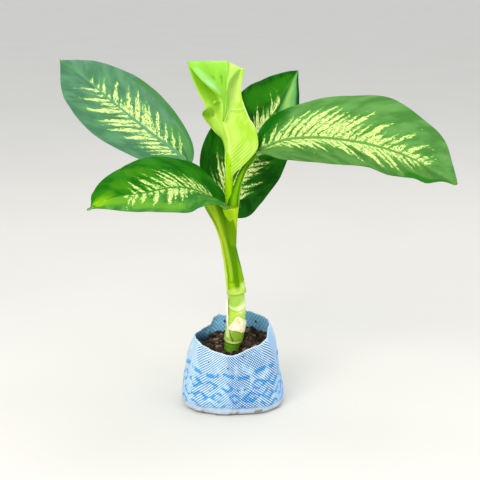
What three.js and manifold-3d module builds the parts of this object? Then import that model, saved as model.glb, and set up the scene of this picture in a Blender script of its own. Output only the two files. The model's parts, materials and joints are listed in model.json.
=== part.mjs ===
// A young dieffenbachia in a small nursery bag of blue woven fabric, built as it grows: bag, soil,
// cane, dried sheath, and for each leaf its petiole with the sheath at its foot, and its blade.
// Millimetres, +Z up. The origin is the middle of the bag's flat bottom. +X is to the right of the
// front view and -Y is towards the viewer.
import * as THREE from "three";
import { mergeVertices } from "three/addons/utils/BufferGeometryUtils.js";
import Module from "manifold-3d";

const wasm = await Module();
wasm.setup();

// Driving dimensions of the bag and the soil
const BAG_WALL = 1.2;
const BAG_DEPTH_SHARE = 0.87; // front to back, against side to side
const BAG_SQUARENESS = 2.5; // superellipse exponent of its plan, 2 is an oval
const BAG_RIM = 82; // mean height of the cut rim
const FLOOR_RADIUS = 25; // inside this the floor is dead flat
const BAG_SIDES = 40;
const BAG_LEAN = 1.3; // the filled bag sags this far to the left
const SOIL_SHARE = 0.76; // how far up the bag the soil comes
const SOIL_HUMP = 2; // how much higher it is away from the wall
const CLODS = 16;
const CLOD_REACH = [13, 35]; // nearest and furthest from the middle
const CLOD_SIZE = [3, 5];
const FIT = 0.35; // gap between pieces that touch

// The bag's punched holes, as the direction in degrees, from the right through the back, and height
const DRAIN_RADIUS = 1.3;
const DRAINS = [[60, 34], [150, 30], [237, 59], [265, 53.3], [289, 65]];

// Driving dimensions of the plant
const BLADE_THICK = 1;
const RIB_DEPTH = 2.6; // how far the midrib stands out under a blade
const RIB_HALF_WIDTH = 3;
const CANE_RADIUS = 11; // where the dried sheath clasps it
const STEM_Y = -8; // the cane stands a little in front of the bag's middle

// The bag's side-to-side radius at each height, from the floor to the rim
const BAG_PROFILE = [
  [50.5, 0],
  [56.5, 2.5],
  [58.6, 8],
  [58.4, 16],
  [55.8, 33],
  [51.5, 55],
  [46.2, 73],
  [42.5, BAG_RIM],
];
const RIM_RADIUS = BAG_PROFILE.at(-1)[0];
const LEAN_HEIGHT = 60; // the lean is whole from here up

// Small helpers

const vec = (x, y, z) => new THREE.Vector3(x, y, z);
const rad = THREE.MathUtils.degToRad;
const mix = THREE.MathUtils.lerp;

// A value read from [place, value] pairs, eased between them unless the ease says otherwise.
function ramp(pairs, at, ease = THREE.MathUtils.smoothstep) {
  if (at <= pairs[0][0]) return pairs[0][1];
  for (let i = 1; i < pairs.length; i++) {
    const [x0, y0] = pairs[i - 1];
    const [x1, y1] = pairs[i];
    if (at <= x1) return mix(y0, y1, ease(at, x0, x1));
  }
  return pairs.at(-1)[1];
}

// A value read from [place, value] pairs along a smooth line through them.
function flow(pairs, at) {
  const last = pairs.length - 1;
  if (at <= pairs[0][0]) return pairs[0][1];
  if (at >= pairs[last][0]) return pairs[last][1];
  const i = pairs.findIndex(([x]) => x > at) - 1;
  const slope = (j) => {
    const before = pairs[Math.max(0, j - 1)];
    const after = pairs[Math.min(last, j + 1)];
    return (after[1] - before[1]) / (after[0] - before[0]);
  };
  const [[x0, y0], [x1, y1]] = [pairs[i], pairs[i + 1]];
  const w = (at - x0) / (x1 - x0);
  const leave = slope(i) * (x1 - x0);
  const arrive = slope(i + 1) * (x1 - x0);
  const bend = 3 * (y1 - y0) - 2 * leave - arrive;
  const twist = 2 * (y0 - y1) + leave + arrive;
  return y0 + leave * w + bend * w ** 2 + twist * w ** 3;
}

const curveOf = (points) =>
  new THREE.CatmullRomCurve3(points.map((p) => vec(...p)), false, "catmullrom", 0.5);

// Point, direction, upper side and right-hand side at even steps along a curve. The upper side is
// carried along without turning, and roll adds a turn in degrees at each share of the length.
function framesAlong(curve, upper, steps, roll = () => 0) {
  const frames = [];
  let normal = upper.clone();
  for (let i = 0; i <= steps; i++) {
    const at = curve.getPointAt(i / steps);
    const along = curve.getTangentAt(i / steps);
    normal.addScaledVector(along, -normal.dot(along)).normalize();
    const up = normal.clone().applyAxisAngle(along, rad(roll(i / steps)));
    frames.push({ at, along, up, side: along.clone().cross(up) });
  }
  return frames;
}

// A manifold solid from a closed three.js geometry.
function solidOf(geometry) {
  const bare = geometry.clone();
  bare.deleteAttribute("normal");
  bare.deleteAttribute("uv");
  const merged = mergeVertices(bare, 1e-4);
  return new wasm.Manifold(
    new wasm.Mesh({
      numProp: 3,
      vertProperties: merged.attributes.position.array,
      triVerts: new Uint32Array(merged.index.array),
    }),
  );
}

// A three.js geometry from a manifold solid, keeping its largest body, without needle-thin faces.
function geometryOf(solid) {
  const bodies = solid.simplify(0.015).decompose().sort((a, b) => b.volume() - a.volume());
  const mesh = bodies[0].getMesh();
  const geometry = new THREE.BufferGeometry();
  geometry.setAttribute("position", new THREE.BufferAttribute(mesh.vertProperties, 3));
  geometry.setIndex(new THREE.BufferAttribute(mesh.triVerts, 1));
  geometry.computeVertexNormals();
  return geometry;
}

// Moves every vertex of a geometry to place(x, y, z).
function bent(geometry, place) {
  const position = geometry.attributes.position;
  for (let i = 0; i < position.count; i++) {
    const to = place(position.getX(i), position.getY(i), position.getZ(i));
    position.setXYZ(i, to.x, to.y, to.z);
  }
  return geometry;
}

// A round or oval limb along a path. radii(t, angle) gives [across, deep].
function limb(points, radii, { sides = 12, steps = 14, facing = vec(0, -1, 0) } = {}) {
  const frames = framesAlong(curveOf(points), facing, steps);
  const tube = new THREE.CylinderGeometry(1, 1, 1, sides, steps);
  return solidOf(
    bent(tube, (x, y, z) => {
      const frame = frames[Math.round((y + 0.5) * steps)];
      const [across, deep] = radii(y + 0.5, Math.atan2(z, x));
      return frame.at.clone().addScaledVector(frame.side, x * across).addScaledVector(frame.up, z * deep);
    }),
  );
}

// The bag and the soil share one form, so that the soil fills the bag

// Height of the cut rim at each direction in degrees, counted from the right through the back.
const RIM_HEIGHTS = [
  [0, 89],
  [35, 94],
  [62, 97],
  [90, 88],
  [105, 91],
  [113, 92],
  [121, 89.5],
  [128, 80],
  [136, 78.5],
  [150, 76],
  [168, 77.5],
  [182, 80],
  [210, 79],
  [225, 75],
  [240, 71],
  [270, 66.5],
  [315, 76],
  [360, 89],
];

const turnOf = (x, y) => (THREE.MathUtils.radToDeg(Math.atan2(y, x)) + 360) % 360;

// How much wider the bag is in a direction than the circle it starts from, with shallow folds
// that die out towards the floor.
function planShare(turn, height) {
  const c = Math.abs(Math.cos(rad(turn))) ** BAG_SQUARENESS;
  const s = (Math.abs(Math.sin(rad(turn))) / BAG_DEPTH_SHARE) ** BAG_SQUARENESS;
  const fold = 0.016 * Math.cos(rad(turn * 3 - 40)) + 0.014 * Math.sin(rad(turn * 7 + 25));
  return (c + s) ** (-1 / BAG_SQUARENESS) + fold * THREE.MathUtils.smoothstep(height, 20, BAG_RIM);
}

// How much heights are stretched in a direction, fully at the wall and not at all in the middle.
const rimLift = (turn, radius) =>
  mix(1, ramp(RIM_HEIGHTS, turn) / BAG_RIM, Math.min(1, radius / RIM_RADIUS) ** 2);

// Turns a lathed form into the bag's form. Heights follow the rim at the wall and even out inwards.
function bagForm(profile) {
  const lathe = new THREE.LatheGeometry(profile.map((p) => new THREE.Vector2(...p)), BAG_SIDES);
  return bent(lathe, (x, y, z) => {
    const turn = turnOf(x, -z);
    const share = planShare(turn, y);
    const lean = BAG_LEAN * THREE.MathUtils.smoothstep(y, 0, LEAN_HEIGHT);
    return vec(x * share - lean, -z * share, y * rimLift(turn, Math.hypot(x, z)));
  });
}

// The bag's profile taken in by some distance, up to a height.
function bagProfile(inset, floor, top) {
  const points = BAG_PROFILE.filter(([, z]) => z > floor && z < top).map(([r, z]) => [r - inset, z]);
  const straight = (at, from, to) => (at - from) / (to - from);
  const radiusAt = (z) => ramp(BAG_PROFILE.map(([r, h]) => [h, r]), z, straight) - inset;
  return [[radiusAt(floor) - 1, floor], ...points, [radiusAt(top), top]];
}

function growBag() {
  const outside = bagProfile(0, 0, BAG_RIM);
  const inside = bagProfile(BAG_WALL, BAG_WALL, BAG_RIM).reverse();
  const under = [[0, 0], [FLOOR_RADIUS, 0]];
  const floor = [[FLOOR_RADIUS, BAG_WALL], [0, BAG_WALL]];
  let bag = solidOf(bagForm([...under, ...outside, ...inside, ...floor]));
  const reach = 30;
  for (const [turn, height] of DRAINS) {
    const drain = new THREE.CylinderGeometry(DRAIN_RADIUS, DRAIN_RADIUS, reach, 10).rotateZ(Math.PI / 2);
    drain.translate(RIM_RADIUS + reach / 4, 0, 0).rotateZ(rad(turn)).translate(0, 0, height);
    bag = bag.subtract(solidOf(drain));
  }
  return bag;
}

// The soil's surface is humped, and small clods stand out of it.
function soil() {
  const top = BAG_RIM * SOIL_SHARE;
  const gap = BAG_WALL + FIT;
  const wall = bagProfile(gap, gap, top);
  const crown = [0.86, 0.66, 0.45, 0.22, 0].map((share) => [wall.at(-1)[0] * share, top + SOIL_HUMP]);
  let heap = solidOf(bagForm([[0, gap], [FLOOR_RADIUS, gap], ...wall, ...crown]));
  for (let i = 0; i < CLODS; i++) {
    const turn = (i * 137.5) % 360; // the turn that never lines up
    const reach = mix(...CLOD_REACH, Math.sqrt(((i * 7) % CLODS) / CLODS));
    const clod = new THREE.IcosahedronGeometry(mix(...CLOD_SIZE, ((i * 5) % 7) / 7), 0).rotateX(i);
    clod.translate(reach * planShare(turn, top), 0, (top + SOIL_HUMP) * rimLift(turn, reach));
    clod.rotateZ(rad(turn));
    heap = heap.add(solidOf(clod));
  }
  return heap;
}

// The cane. Its radii are [height, radius] pairs, and its rings are the scars of fallen leaves.

const CANE_AXIS = [
  [-3, STEM_Y, 18],
  [-1.8, STEM_Y, 58],
  [2.4, STEM_Y, 86],
  [4.8, STEM_Y, 118],
  [0.8, STEM_Y, 152],
  [-3.2, STEM_Y, 184],
  [-2.2, STEM_Y, 208],
  [-0.6, STEM_Y, 230],
];
const CANE_BODY = [
  [18, 7.5],
  [58, 8],
  [66, 8.6],
  [74, 9.6],
  [80, CANE_RADIUS],
  [92, CANE_RADIUS],
  [102, 10.1],
  [118, 9.9],
  [126, 9.5],
  [134, 8.6],
  [165, 6.9],
  [184, 6],
  [200, 5.6],
  [230, 5.4],
];
const NODE_RINGS = [[75.5, 1.5], [119.3, 6.2]]; // height, and how much lower it is in front
const RING_HIGH = 0.7;
const caneHeight = (t) => mix(CANE_AXIS[0][2], CANE_AXIS.at(-1)[2], t);

function cane(extra = 0, steps = 36) {
  const radius = (t, angle) => {
    const scars = NODE_RINGS.map(([ring, tilt]) => {
      const away = caneHeight(t) + tilt * Math.sin(angle) - ring;
      return RING_HIGH * Math.exp(-((away / 1.8) ** 2));
    });
    const r = ramp(CANE_BODY, caneHeight(t)) + Math.max(...scars) + extra;
    return [r, r];
  };
  return limb(CANE_AXIS, radius, { sides: 14, steps });
}

// What is left of an older leaf: a papery sheath that clasps the cane, torn down to a low flap in
// front and a narrow strip on the left. Its turns in degrees count from the front to the right, its
// heights are along the cane's axis. Off is how far its middle stands off the cane at each height.
const DRIED = {
  axis: [[1.3, STEM_Y, 80], [3.1, STEM_Y, 92], [4.5, STEM_Y, 110], [4.6, STEM_Y, 126]],
  foot: [[-96, 101], [-70, 97], [-50, 91.5], [-43, 90.3], [0, 89], [52, 85.3], [90, 86]],
  head: [
    [-96, 122], [-86, 125], [-70, 125.5], [-58, 122], [-53, 106], [-48, 97], [-39, 94], [-28, 97.5],
    [0, 105.5], [10, 106.8], [40, 103], [62, 100.5], [75, 99.5], [90, 96],
  ],
  off: [[94, 0.85], [110, 1.45]],
};

function driedSheath() {
  const axis = curveOf(DRIED.axis);
  const [low, high] = [DRIED.axis[0][2], DRIED.axis.at(-1)[2]];
  const sheet = new THREE.PlaneGeometry(1, 1, 34, 4);
  return slab(sheet, (x, y, h) => {
    const turn = mix(DRIED.foot[0][0], DRIED.foot.at(-1)[0], x + 0.5);
    const height = mix(ramp(DRIED.foot, turn), ramp(DRIED.head, turn), y + 0.5);
    const r = ramp(CANE_BODY, height) + ramp(DRIED.off, height) + 0.4 * (y + 0.5) ** 2 + h;
    const at = axis.getPointAt((height - low) / (high - low));
    return at.add(vec(Math.sin(rad(turn)) * r, -Math.cos(rad(turn)) * r, 0));
  }, 0.8);
}

// A closed thin solid over a plane grid. place(x, y, h) gives the point h above the middle surface,
// and both faces have the same triangles.
function slab(grid, place, thick) {
  const flat = grid.attributes.position;
  const count = flat.count;
  const points = new Float32Array(count * 6);
  for (let i = 0; i < count; i++) {
    for (const [face, h] of [thick / 2, -thick / 2].entries()) {
      place(flat.getX(i), flat.getY(i), h).toArray(points, (face * count + i) * 3);
    }
  }
  const faces = [];
  const edges = new Set();
  const index = grid.index.array;
  for (let i = 0; i < index.length; i += 3) {
    const [a, b, c] = index.subarray(i, i + 3);
    faces.push(a, b, c, a + count, c + count, b + count);
    for (const [from, to] of [[a, b], [b, c], [c, a]]) edges.add(from * count + to);
  }
  for (const edge of edges) {
    const from = Math.floor(edge / count);
    const to = edge % count;
    if (!edges.has(to * count + from)) {
      faces.push(to, from, from + count, to, from + count, to + count);
    }
  }
  const shell = new THREE.BufferGeometry();
  shell.setAttribute("position", new THREE.BufferAttribute(points, 3));
  shell.setIndex(faces);
  return solidOf(shell);
}

// The leaves

// Half the width of a grown blade against its widest, from base to tip. The shape's two powers say
// how bluntly it starts and how bluntly it ends.
function outline(t, [start, end]) {
  const widest = start / (start + end);
  const oval = (t / widest) ** start * ((1 - t) / (1 - widest)) ** end;
  return Math.max(oval, 0.012);
}

// Each grown blade has its midrib from base to tip, the way its upper side faces at the base, its
// half width and shape with how each half's margin departs from it as [share of length, share of
// width], how far each half rises from the midrib in degrees and bends on from there, and its edge
// waves. The left half is the one on the left when looking from base to tip. The blade turns about
// its midrib by the twist, and its halves fold together at the base by the funnel.
const BLADES = {
  right: {
    midrib: [
      [26, -9, 290], [56, -13, 304], [91, -20, 308], [124, -27, 306],
      [158, -35, 300], [193, -42, 288], [239, -50, 263],
    ],
    upper: [-0.34, -0.76, 0.55],
    half: 54,
    shape: [0.6, 0.6],
    margin: {
      left: [
        [0, 0.86], [0.2, 0.88], [0.35, 0.98], [0.45, 1.01], [0.58, 1.07], [0.73, 1.01], [0.87, 1.06],
        [0.95, 0.78], [1, 0.5],
      ],
      right: [
        [0, 1.5], [0.1, 1.5], [0.2, 1.14], [0.42, 1.03], [0.59, 0.84], [0.7, 0.94], [0.8, 0.86],
        [0.87, 0.95], [0.95, 0.42], [1, 0.5],
      ],
    },
    rise: { left: 15, right: 36 },
    curl: { left: -14, right: -10 },
    wave: { count: 2, high: 3, left: 0, right: 0.4 },
    twist: -6,
    funnel: 34,
  },
  back: {
    midrib: [[-4, 19, 213], [0, 44, 250], [31, 73, 298], [54, 104, 328], [78, 138, 366]],
    upper: [0.64, -0.66, 0.39],
    half: 56,
    shape: [0.45, 0.77],
    margin: {
      left: [[0, 1.03], [0.35, 1.06], [0.8, 1.04], [0.9, 0.95], [0.96, 0.82], [1, 0.5]],
      right: [[0, 1.03], [0.4, 1.04], [0.5, 1], [0.88, 1.04], [0.95, 0.71], [1, 0.5]],
    },
    rise: { left: 10, right: -3 },
    curl: { left: -8, right: -8 },
    wave: { count: 1.85, high: 2.4, left: 0.2, right: 0.27 },
    twist: 0,
    funnel: 10,
  },
  upper_left: {
    midrib: [
      [-48, 9, 269], [-61, 17, 285], [-91, 28, 306],
      [-139, 50, 341], [-168, 68, 363], [-198.5, 81.5, 382.7],
    ],
    upper: [0.23, -0.79, 0.57],
    half: 47,
    shape: [0.78, 0.77],
    margin: {
      left: [[0, 1.01], [0.68, 1.01], [0.83, 1.11], [0.9, 1.05], [0.95, 0.85], [1, 0.5]],
      right: [
        [0, 0.93], [0.12, 1.02], [0.3, 0.99], [0.5, 1.03], [0.75, 0.98], [0.9, 0.96], [0.95, 0.83],
        [1, 0.5],
      ],
    },
    rise: { left: 10, right: 4 },
    curl: { left: -12, right: -12 },
    wave: { count: 2.2, high: 1.8, left: 0.54, right: 0.71 },
    twist: 0,
    funnel: 16,
  },
  lower_left: {
    midrib: [
      [-7, -13, 229], [-17, -19, 237], [-33, -33, 250],
      [-58, -58, 261], [-92, -96, 262], [-119, -120, 262.5], [-142.5, -140, 254.5],
    ],
    upper: [0.72, -0.05, 0.69],
    half: 46,
    shape: [0.46, 0.71],
    margin: {
      left: [
        [0, 1], [0.44, 1.01], [0.54, 1.12], [0.65, 1.01], [0.75, 1.14], [0.85, 1.38], [0.9, 1.2],
        [0.94, 0.7], [0.965, 0.3], [0.98, 0.2], [1, 0.6],
      ],
      right: [
        [0, 1], [0.1, 1.06], [0.17, 1.12], [0.27, 1.04], [0.5, 1.02], [0.6, 0.97], [0.8, 0.92],
        [0.9, 0.85], [0.93, 0.82], [0.965, 0.4], [0.98, 0.2], [1, 0.6],
      ],
    },
    rise: { left: 26, right: 15 },
    curl: { left: -22, right: -16 },
    wave: { count: 1.7, high: 2.4, left: 0.78, right: 0 },
    twist: 0,
    funnel: 20,
  },
};

// How wide a half of the blade is at a share of its length.
const halfWidth = (blade, hand, t) => blade.half * outline(t, blade.shape) * flow(blade.margin[hand], t);
const handOf = (s) => (s < 0 ? "left" : "right");

// The blade's point at a share of its length, s from -1 at the left edge to 1 at the right edge,
// and h above its middle surface.
function bladeSurface(blade, steps) {
  const frames = framesAlong(curveOf(blade.midrib), vec(...blade.upper), steps, (t) => blade.twist * t);
  return (t, s, h) => {
    const frame = frames[Math.round(t * steps)];
    const hand = handOf(s);
    const u = Math.abs(s);
    const wide = halfWidth(blade, hand, t);
    const rise = rad(blade.rise[hand] + blade.funnel * Math.exp(-t / 0.1));
    const curl = rad(blade.curl[hand]);
    const outward = (wide * (Math.sin(rise + curl * u) - Math.sin(rise))) / curl;
    const upward = (wide * (Math.cos(rise) - Math.cos(rise + curl * u))) / curl;
    const turn = 2 * Math.PI * (blade.wave.count * t + blade.wave[hand]);
    const ripple = blade.wave.high * u * u * Math.sin(turn) * Math.min(1, wide / 20);
    const tilt = rise + curl * u;
    const out = outward - h * Math.sin(tilt);
    const up = upward + ripple + h * Math.cos(tilt);
    return frame.at.clone().addScaledVector(frame.side, Math.sign(s) * out).addScaledVector(frame.up, up);
  };
}

function bladeSolid(blade, { thick = BLADE_THICK, steps = 24, columns = 10 } = {}) {
  const surface = bladeSurface(blade, steps);
  return slab(new THREE.PlaneGeometry(1, 1, steps, columns), (x, y, h) => {
    const t = x + 0.5;
    const s = -Math.sign(y) * Math.abs(2 * y) ** 1.4;
    const wide = halfWidth(blade, handOf(s), t) * Math.abs(s);
    const rib = RIB_DEPTH * (1 - 0.85 * t) * Math.exp(-((wide / RIB_HALF_WIDTH) ** 2));
    return surface(t, s, h < 0 ? h - rib : h);
  }, thick);
}

// Each petiole runs from its foot on the cane to its blade, with [share of length, radius] pairs
// for its width across the front view and its depth.
const PETIOLES = {
  upper_left: {
    path: [
      [4.6, STEM_Y, 131], [2, STEM_Y, 150], [-2.4, STEM_Y, 174], [-8, STEM_Y, 200],
      [-17, -6, 222], [-31, 1, 246], [-48, 8.9, 269.3],
    ],
    across: [
      [0, 10.6], [0.1, 10.4], [0.16, 9.6], [0.3, 8.7], [0.4, 8.2], [0.52, 8.4], [0.68, 9.2],
      [0.82, 5.6], [1, 4],
    ],
    deep: [
      [0, 10.6], [0.1, 10.3], [0.2, 9.4], [0.4, 8.2], [0.52, 7.4], [0.68, 6], [0.82, 4.6], [1, 3.8],
    ],
  },
  back: {
    path: [[-3, -4, 174], [-3, 0, 188], [-3.4, 8, 200], [-4, 17.5, 211]],
    across: [[0, 5], [0.4, 5.4], [1, 4.2]],
    deep: [[0, 5], [0.4, 4.6], [1, 3.8]],
  },
  lower_left: {
    path: [[-4, -10, 221], [-7.8, -13.5, 229.6]],
    across: [[0, 4.6], [1, 3.6]],
    deep: [[0, 4.6], [1, 3.4]],
    sheath: [[-3.2, STEM_Y, 184], [-2.2, STEM_Y, 208], [-0.6, STEM_Y, 233.5]],
    sheath_radius: [[0, 7.4], [0.7, 7.5], [0.9, 7.8], [1, 8.4]],
  },
  right: {
    path: [[-2, STEM_Y, 212], [0.8, STEM_Y, 236], [5.8, STEM_Y, 254], [13, -8.5, 272], [25.4, -9, 289.4]],
    across: [[0, 6.8], [0.3, 7.2], [0.42, 5.6], [0.52, 3.9], [0.75, 3.4], [1, 3.4]],
    deep: [[0, 6.8], [0.3, 6.8], [0.42, 5.4], [0.52, 3.9], [0.75, 3.4], [1, 3.4]],
  },
};

function petioleSolid({ path, across, deep, sheath, sheath_radius: wrap }, extra = 0) {
  const stalkRadii = (t) => [ramp(across, t) + extra, ramp(deep, t) + extra];
  const stalk = limb(path, stalkRadii, { steps: path.length * 3 });
  if (!sheath) return stalk;
  const sheathRadii = (t) => [ramp(wrap, t) + extra, ramp(wrap, t) + extra];
  return stalk.add(limb(sheath, sheathRadii, { sides: 14, steps: 6 }));
}

// The new leaf, half unrolled. Its midrib climbs, bends over towards the viewer near the top, and
// its pointed end hangs down in front. The sides are [share of length, value] pairs.
const NEW_LEAF = {
  midrib: [
    [-3.6, -8.4, 262], [-3.6, -9, 282], [-4, -9, 304], [-8, -8, 321], [-10, -7, 338], [-10.2, -6, 352],
    [-9.3, -5.5, 372], [-8.3, -9, 386], [-7.6, -15, 389.5], [-7, -22, 383], [-6.8, -23, 364],
    [-7.4, -17, 345], [-9.8, -12.5, 325],
  ],
  upper: [0, -1, 0],
  left: {
    wide: [
      [0, 4.4], [0.1, 5], [0.145, 9], [0.19, 15], [0.24, 19], [0.29, 20.5], [0.33, 22], [0.362, 23],
      [0.395, 19.5], [0.43, 24.5], [0.48, 30.5], [0.61, 39], [0.68, 39.5], [0.72, 34], [0.765, 26],
      [0.8, 18.5], [0.845, 8.5], [0.875, 4], [0.91, 2.4], [1, 0.8],
    ],
    rise: [[0, 60], [0.15, -30], [0.3, -24], [0.4, 16], [0.55, 10], [0.66, 5], [0.8, 3], [1, 6]],
    curl: [[0, 30], [0.15, -60], [0.4, 10], [0.7, 6], [1, 5]],
  },
  right: {
    wide: [
      [0, 5], [0.04, 10], [0.08, 18], [0.12, 25], [0.165, 32], [0.2, 33], [0.25, 31.5], [0.34, 27],
      [0.405, 24], [0.48, 21.5], [0.58, 22.5], [0.66, 23], [0.7, 20.5], [0.735, 13.5], [0.775, 6],
      [0.83, 3.6], [0.92, 4.5], [1, 0.8],
    ],
    rise: [[0, 55], [0.1, 16], [0.3, 8], [0.5, 14], [0.6, 8], [0.72, 7], [0.82, 10], [1, 10]],
    curl: [[0, 20], [0.3, 12], [0.5, 20], [0.62, 20], [0.72, 20], [0.82, 8], [1, 5]],
  },
};

function newLeafSurface(steps) {
  const frames = framesAlong(curveOf(NEW_LEAF.midrib), vec(...NEW_LEAF.upper), steps);
  return (t, s, h) => {
    const frame = frames[Math.round(t * steps)];
    const half = NEW_LEAF[handOf(s)];
    const u = Math.abs(s);
    const wide = flow(half.wide, t);
    const rise = rad(flow(half.rise, t));
    const curl = rad(flow(half.curl, t)) || 1e-6;
    const tilt = rise + curl * u;
    const out = (wide * (Math.sin(tilt) - Math.sin(rise))) / curl - h * Math.sin(tilt);
    const up = (wide * (Math.cos(rise) - Math.cos(tilt))) / curl + h * Math.cos(tilt);
    return frame.at.clone().addScaledVector(frame.side, Math.sign(s) * out).addScaledVector(frame.up, up);
  };
}

function newLeaf() {
  const steps = 44;
  const surface = newLeafSurface(steps);
  const blade = slab(new THREE.PlaneGeometry(1, 1, steps, 10), (x, y, h) => {
    const t = x + 0.5;
    const s = -Math.sign(y) * Math.abs(2 * y) ** 1.3;
    const wide = flow(NEW_LEAF[handOf(s)].wide, t) * Math.abs(s);
    const rib = 1.8 * (1 - 0.8 * t) * Math.exp(-((wide / RIB_HALF_WIDTH) ** 2));
    return surface(t, s, h < 0 ? h - rib : h);
  }, BLADE_THICK);
  return blade.add(newPetiole());
}

// Its petiole fades into the back of its midrib.
const NEW_PETIOLE = {
  path: [[-3.2, -7.8, 231.2], [-3.8, -8.4, 246], [-3.6, -8.2, 262], [-3.6, -7.6, 280], [-3.8, -7, 296]],
  radius: [[0, 4.2], [0.2, 4.5], [0.45, 4.5], [0.75, 3.4], [1, 1.6]],
};

function newPetiole(extra = 0) {
  const radii = (t) => Array(2).fill(ramp(NEW_PETIOLE.radius, t) + extra);
  return limb(NEW_PETIOLE.path, radii, { sides: 10, steps: 10 });
}

// Materials, as [colour, roughness]

const paint = ([color, roughness]) => new THREE.MeshStandardMaterial({ color, roughness, metalness: 0 });
const FABRIC = ["#a9cdf0", 0.7];
const SOIL = ["#3b2a20", 0.95];
const CANE_GREEN = ["#a6cf3a", 0.45];
const PETIOLE_GREEN = ["#8fc23a", 0.45];
const DRY = ["#eee6bd", 0.8];
const LEAF_GREEN = ["#2f8a3a", 0.35];
const NEW_GREEN = ["#b6ea4a", 0.4];

const plant = new THREE.Group();

function addNode(name, solid, finish) {
  const mesh = new THREE.Mesh(geometryOf(solid), paint(finish));
  mesh.name = name;
  plant.add(mesh);
}

// Pieces further in keep their form, and what clasps them is cut to clear them.
const caneSolid = cane();
const rooms = [cane(FIT), newPetiole(FIT)];
const soilSolid = soil().subtract(rooms[0]);
const blades = {};
for (const [name, blade] of Object.entries(BLADES)) {
  blades[name] = bladeSolid(blade);
  rooms.push(bladeSolid({ ...blade, half: blade.half + 1 }, { thick: BLADE_THICK + 2 * FIT }));
}
const petioles = {};
for (const name of ["right", "lower_left", "back", "upper_left"]) {
  petioles[name] = rooms.reduce((solid, room) => solid.subtract(room), petioleSolid(PETIOLES[name]));
  rooms.push(petioleSolid(PETIOLES[name], FIT));
}

addNode("grow_bag", growBag(), FABRIC);
addNode("soil", soilSolid, SOIL);
addNode("cane", caneSolid, CANE_GREEN);
addNode("dried_sheath", driedSheath(), DRY);
for (const [name, solid] of Object.entries(petioles)) addNode(`petiole_${name}`, solid, PETIOLE_GREEN);
for (const [name, solid] of Object.entries(blades)) addNode(`blade_${name}`, solid, LEAF_GREEN);
addNode("new_leaf", newLeaf(), NEW_GREEN);

export default plant;
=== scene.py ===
# A young dieffenbachia in a small nursery bag of blue woven fabric. Sizes are millimetres in the
# part's own frame: +X is to the right of the front view, -Y is towards the viewer, +Z is up. The
# places that a finish reads and those of the lights and the camera are metres.
import bisect
import json
import math
import random

import bmesh
import bpy
from mathutils import Matrix, Vector, noise

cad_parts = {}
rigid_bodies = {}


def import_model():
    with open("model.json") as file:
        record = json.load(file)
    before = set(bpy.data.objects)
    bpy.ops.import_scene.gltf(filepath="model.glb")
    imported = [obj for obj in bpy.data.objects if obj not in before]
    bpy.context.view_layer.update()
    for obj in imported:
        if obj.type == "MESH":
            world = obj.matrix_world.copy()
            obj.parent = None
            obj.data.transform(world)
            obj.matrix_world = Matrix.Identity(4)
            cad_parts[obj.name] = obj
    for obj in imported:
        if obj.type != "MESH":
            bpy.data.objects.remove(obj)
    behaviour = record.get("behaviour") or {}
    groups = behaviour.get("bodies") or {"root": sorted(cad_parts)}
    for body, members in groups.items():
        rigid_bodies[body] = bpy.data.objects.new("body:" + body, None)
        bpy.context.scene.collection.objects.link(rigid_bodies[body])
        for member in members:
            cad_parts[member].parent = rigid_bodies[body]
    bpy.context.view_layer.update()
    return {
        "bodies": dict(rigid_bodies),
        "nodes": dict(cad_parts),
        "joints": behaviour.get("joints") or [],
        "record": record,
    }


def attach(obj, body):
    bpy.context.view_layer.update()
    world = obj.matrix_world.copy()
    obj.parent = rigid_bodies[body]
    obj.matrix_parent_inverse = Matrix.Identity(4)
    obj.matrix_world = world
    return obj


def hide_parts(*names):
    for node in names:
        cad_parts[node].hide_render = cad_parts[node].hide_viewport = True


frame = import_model()
MM = 0.001
TO_FRONT = (0, -1, 0)
STEM_Y = -8  # the cane stands a little in front of the bag's middle


# Small helpers

def smooth(x, low, high):
    share = min(1.0, max(0.0, (x - low) / (high - low)))
    return share * share * (3 - 2 * share)


def mixed(a, b, share):
    return a + (b - a) * share


def read(pairs, at, eased=True):
    """The value at a place, from [place, value] pairs."""
    if at <= pairs[0][0]:
        return pairs[0][1]
    for (x0, y0), (x1, y1) in zip(pairs, pairs[1:]):
        if at <= x1:
            share = smooth(at, x0, x1) if eased else (at - x0) / (x1 - x0)
            return mixed(y0, y1, share)
    return pairs[-1][1]


def cubic(start, end, leave, arrive, w):
    """A smooth way from start to end, with its slope at each."""
    bend = (end - start) * 3 - leave * 2 - arrive
    twist = (start - end) * 2 + leave + arrive
    return start + leave * w + bend * w ** 2 + twist * w ** 3


def flow(pairs, at):
    """The value at a place, along a smooth line through [place, value] pairs."""
    if at <= pairs[0][0]:
        return pairs[0][1]
    if at >= pairs[-1][0]:
        return pairs[-1][1]
    i = bisect.bisect_right(pairs, (at, math.inf)) - 1

    def slope(j):
        before = pairs[max(0, j - 1)]
        after = pairs[min(len(pairs) - 1, j + 1)]
        return (after[1] - before[1]) / (after[0] - before[0])

    (x0, y0), (x1, y1) = pairs[i:i + 2]
    return cubic(y0, y1, slope(i) * (x1 - x0), slope(i + 1) * (x1 - x0), (at - x0) / (x1 - x0))


def hill(x, middle, width):
    return math.exp(-((x - middle) / width) ** 2)


def rough(x, y, z=0.0):
    """Smooth seeded unevenness, from about -1 to 1."""
    return noise.noise(Vector((x, y, z)))


def heading(turn):
    """The cosine and sine of a turn in degrees."""
    return math.cos(math.radians(turn)), math.sin(math.radians(turn))


CURVE_STEPS = 200


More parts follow.
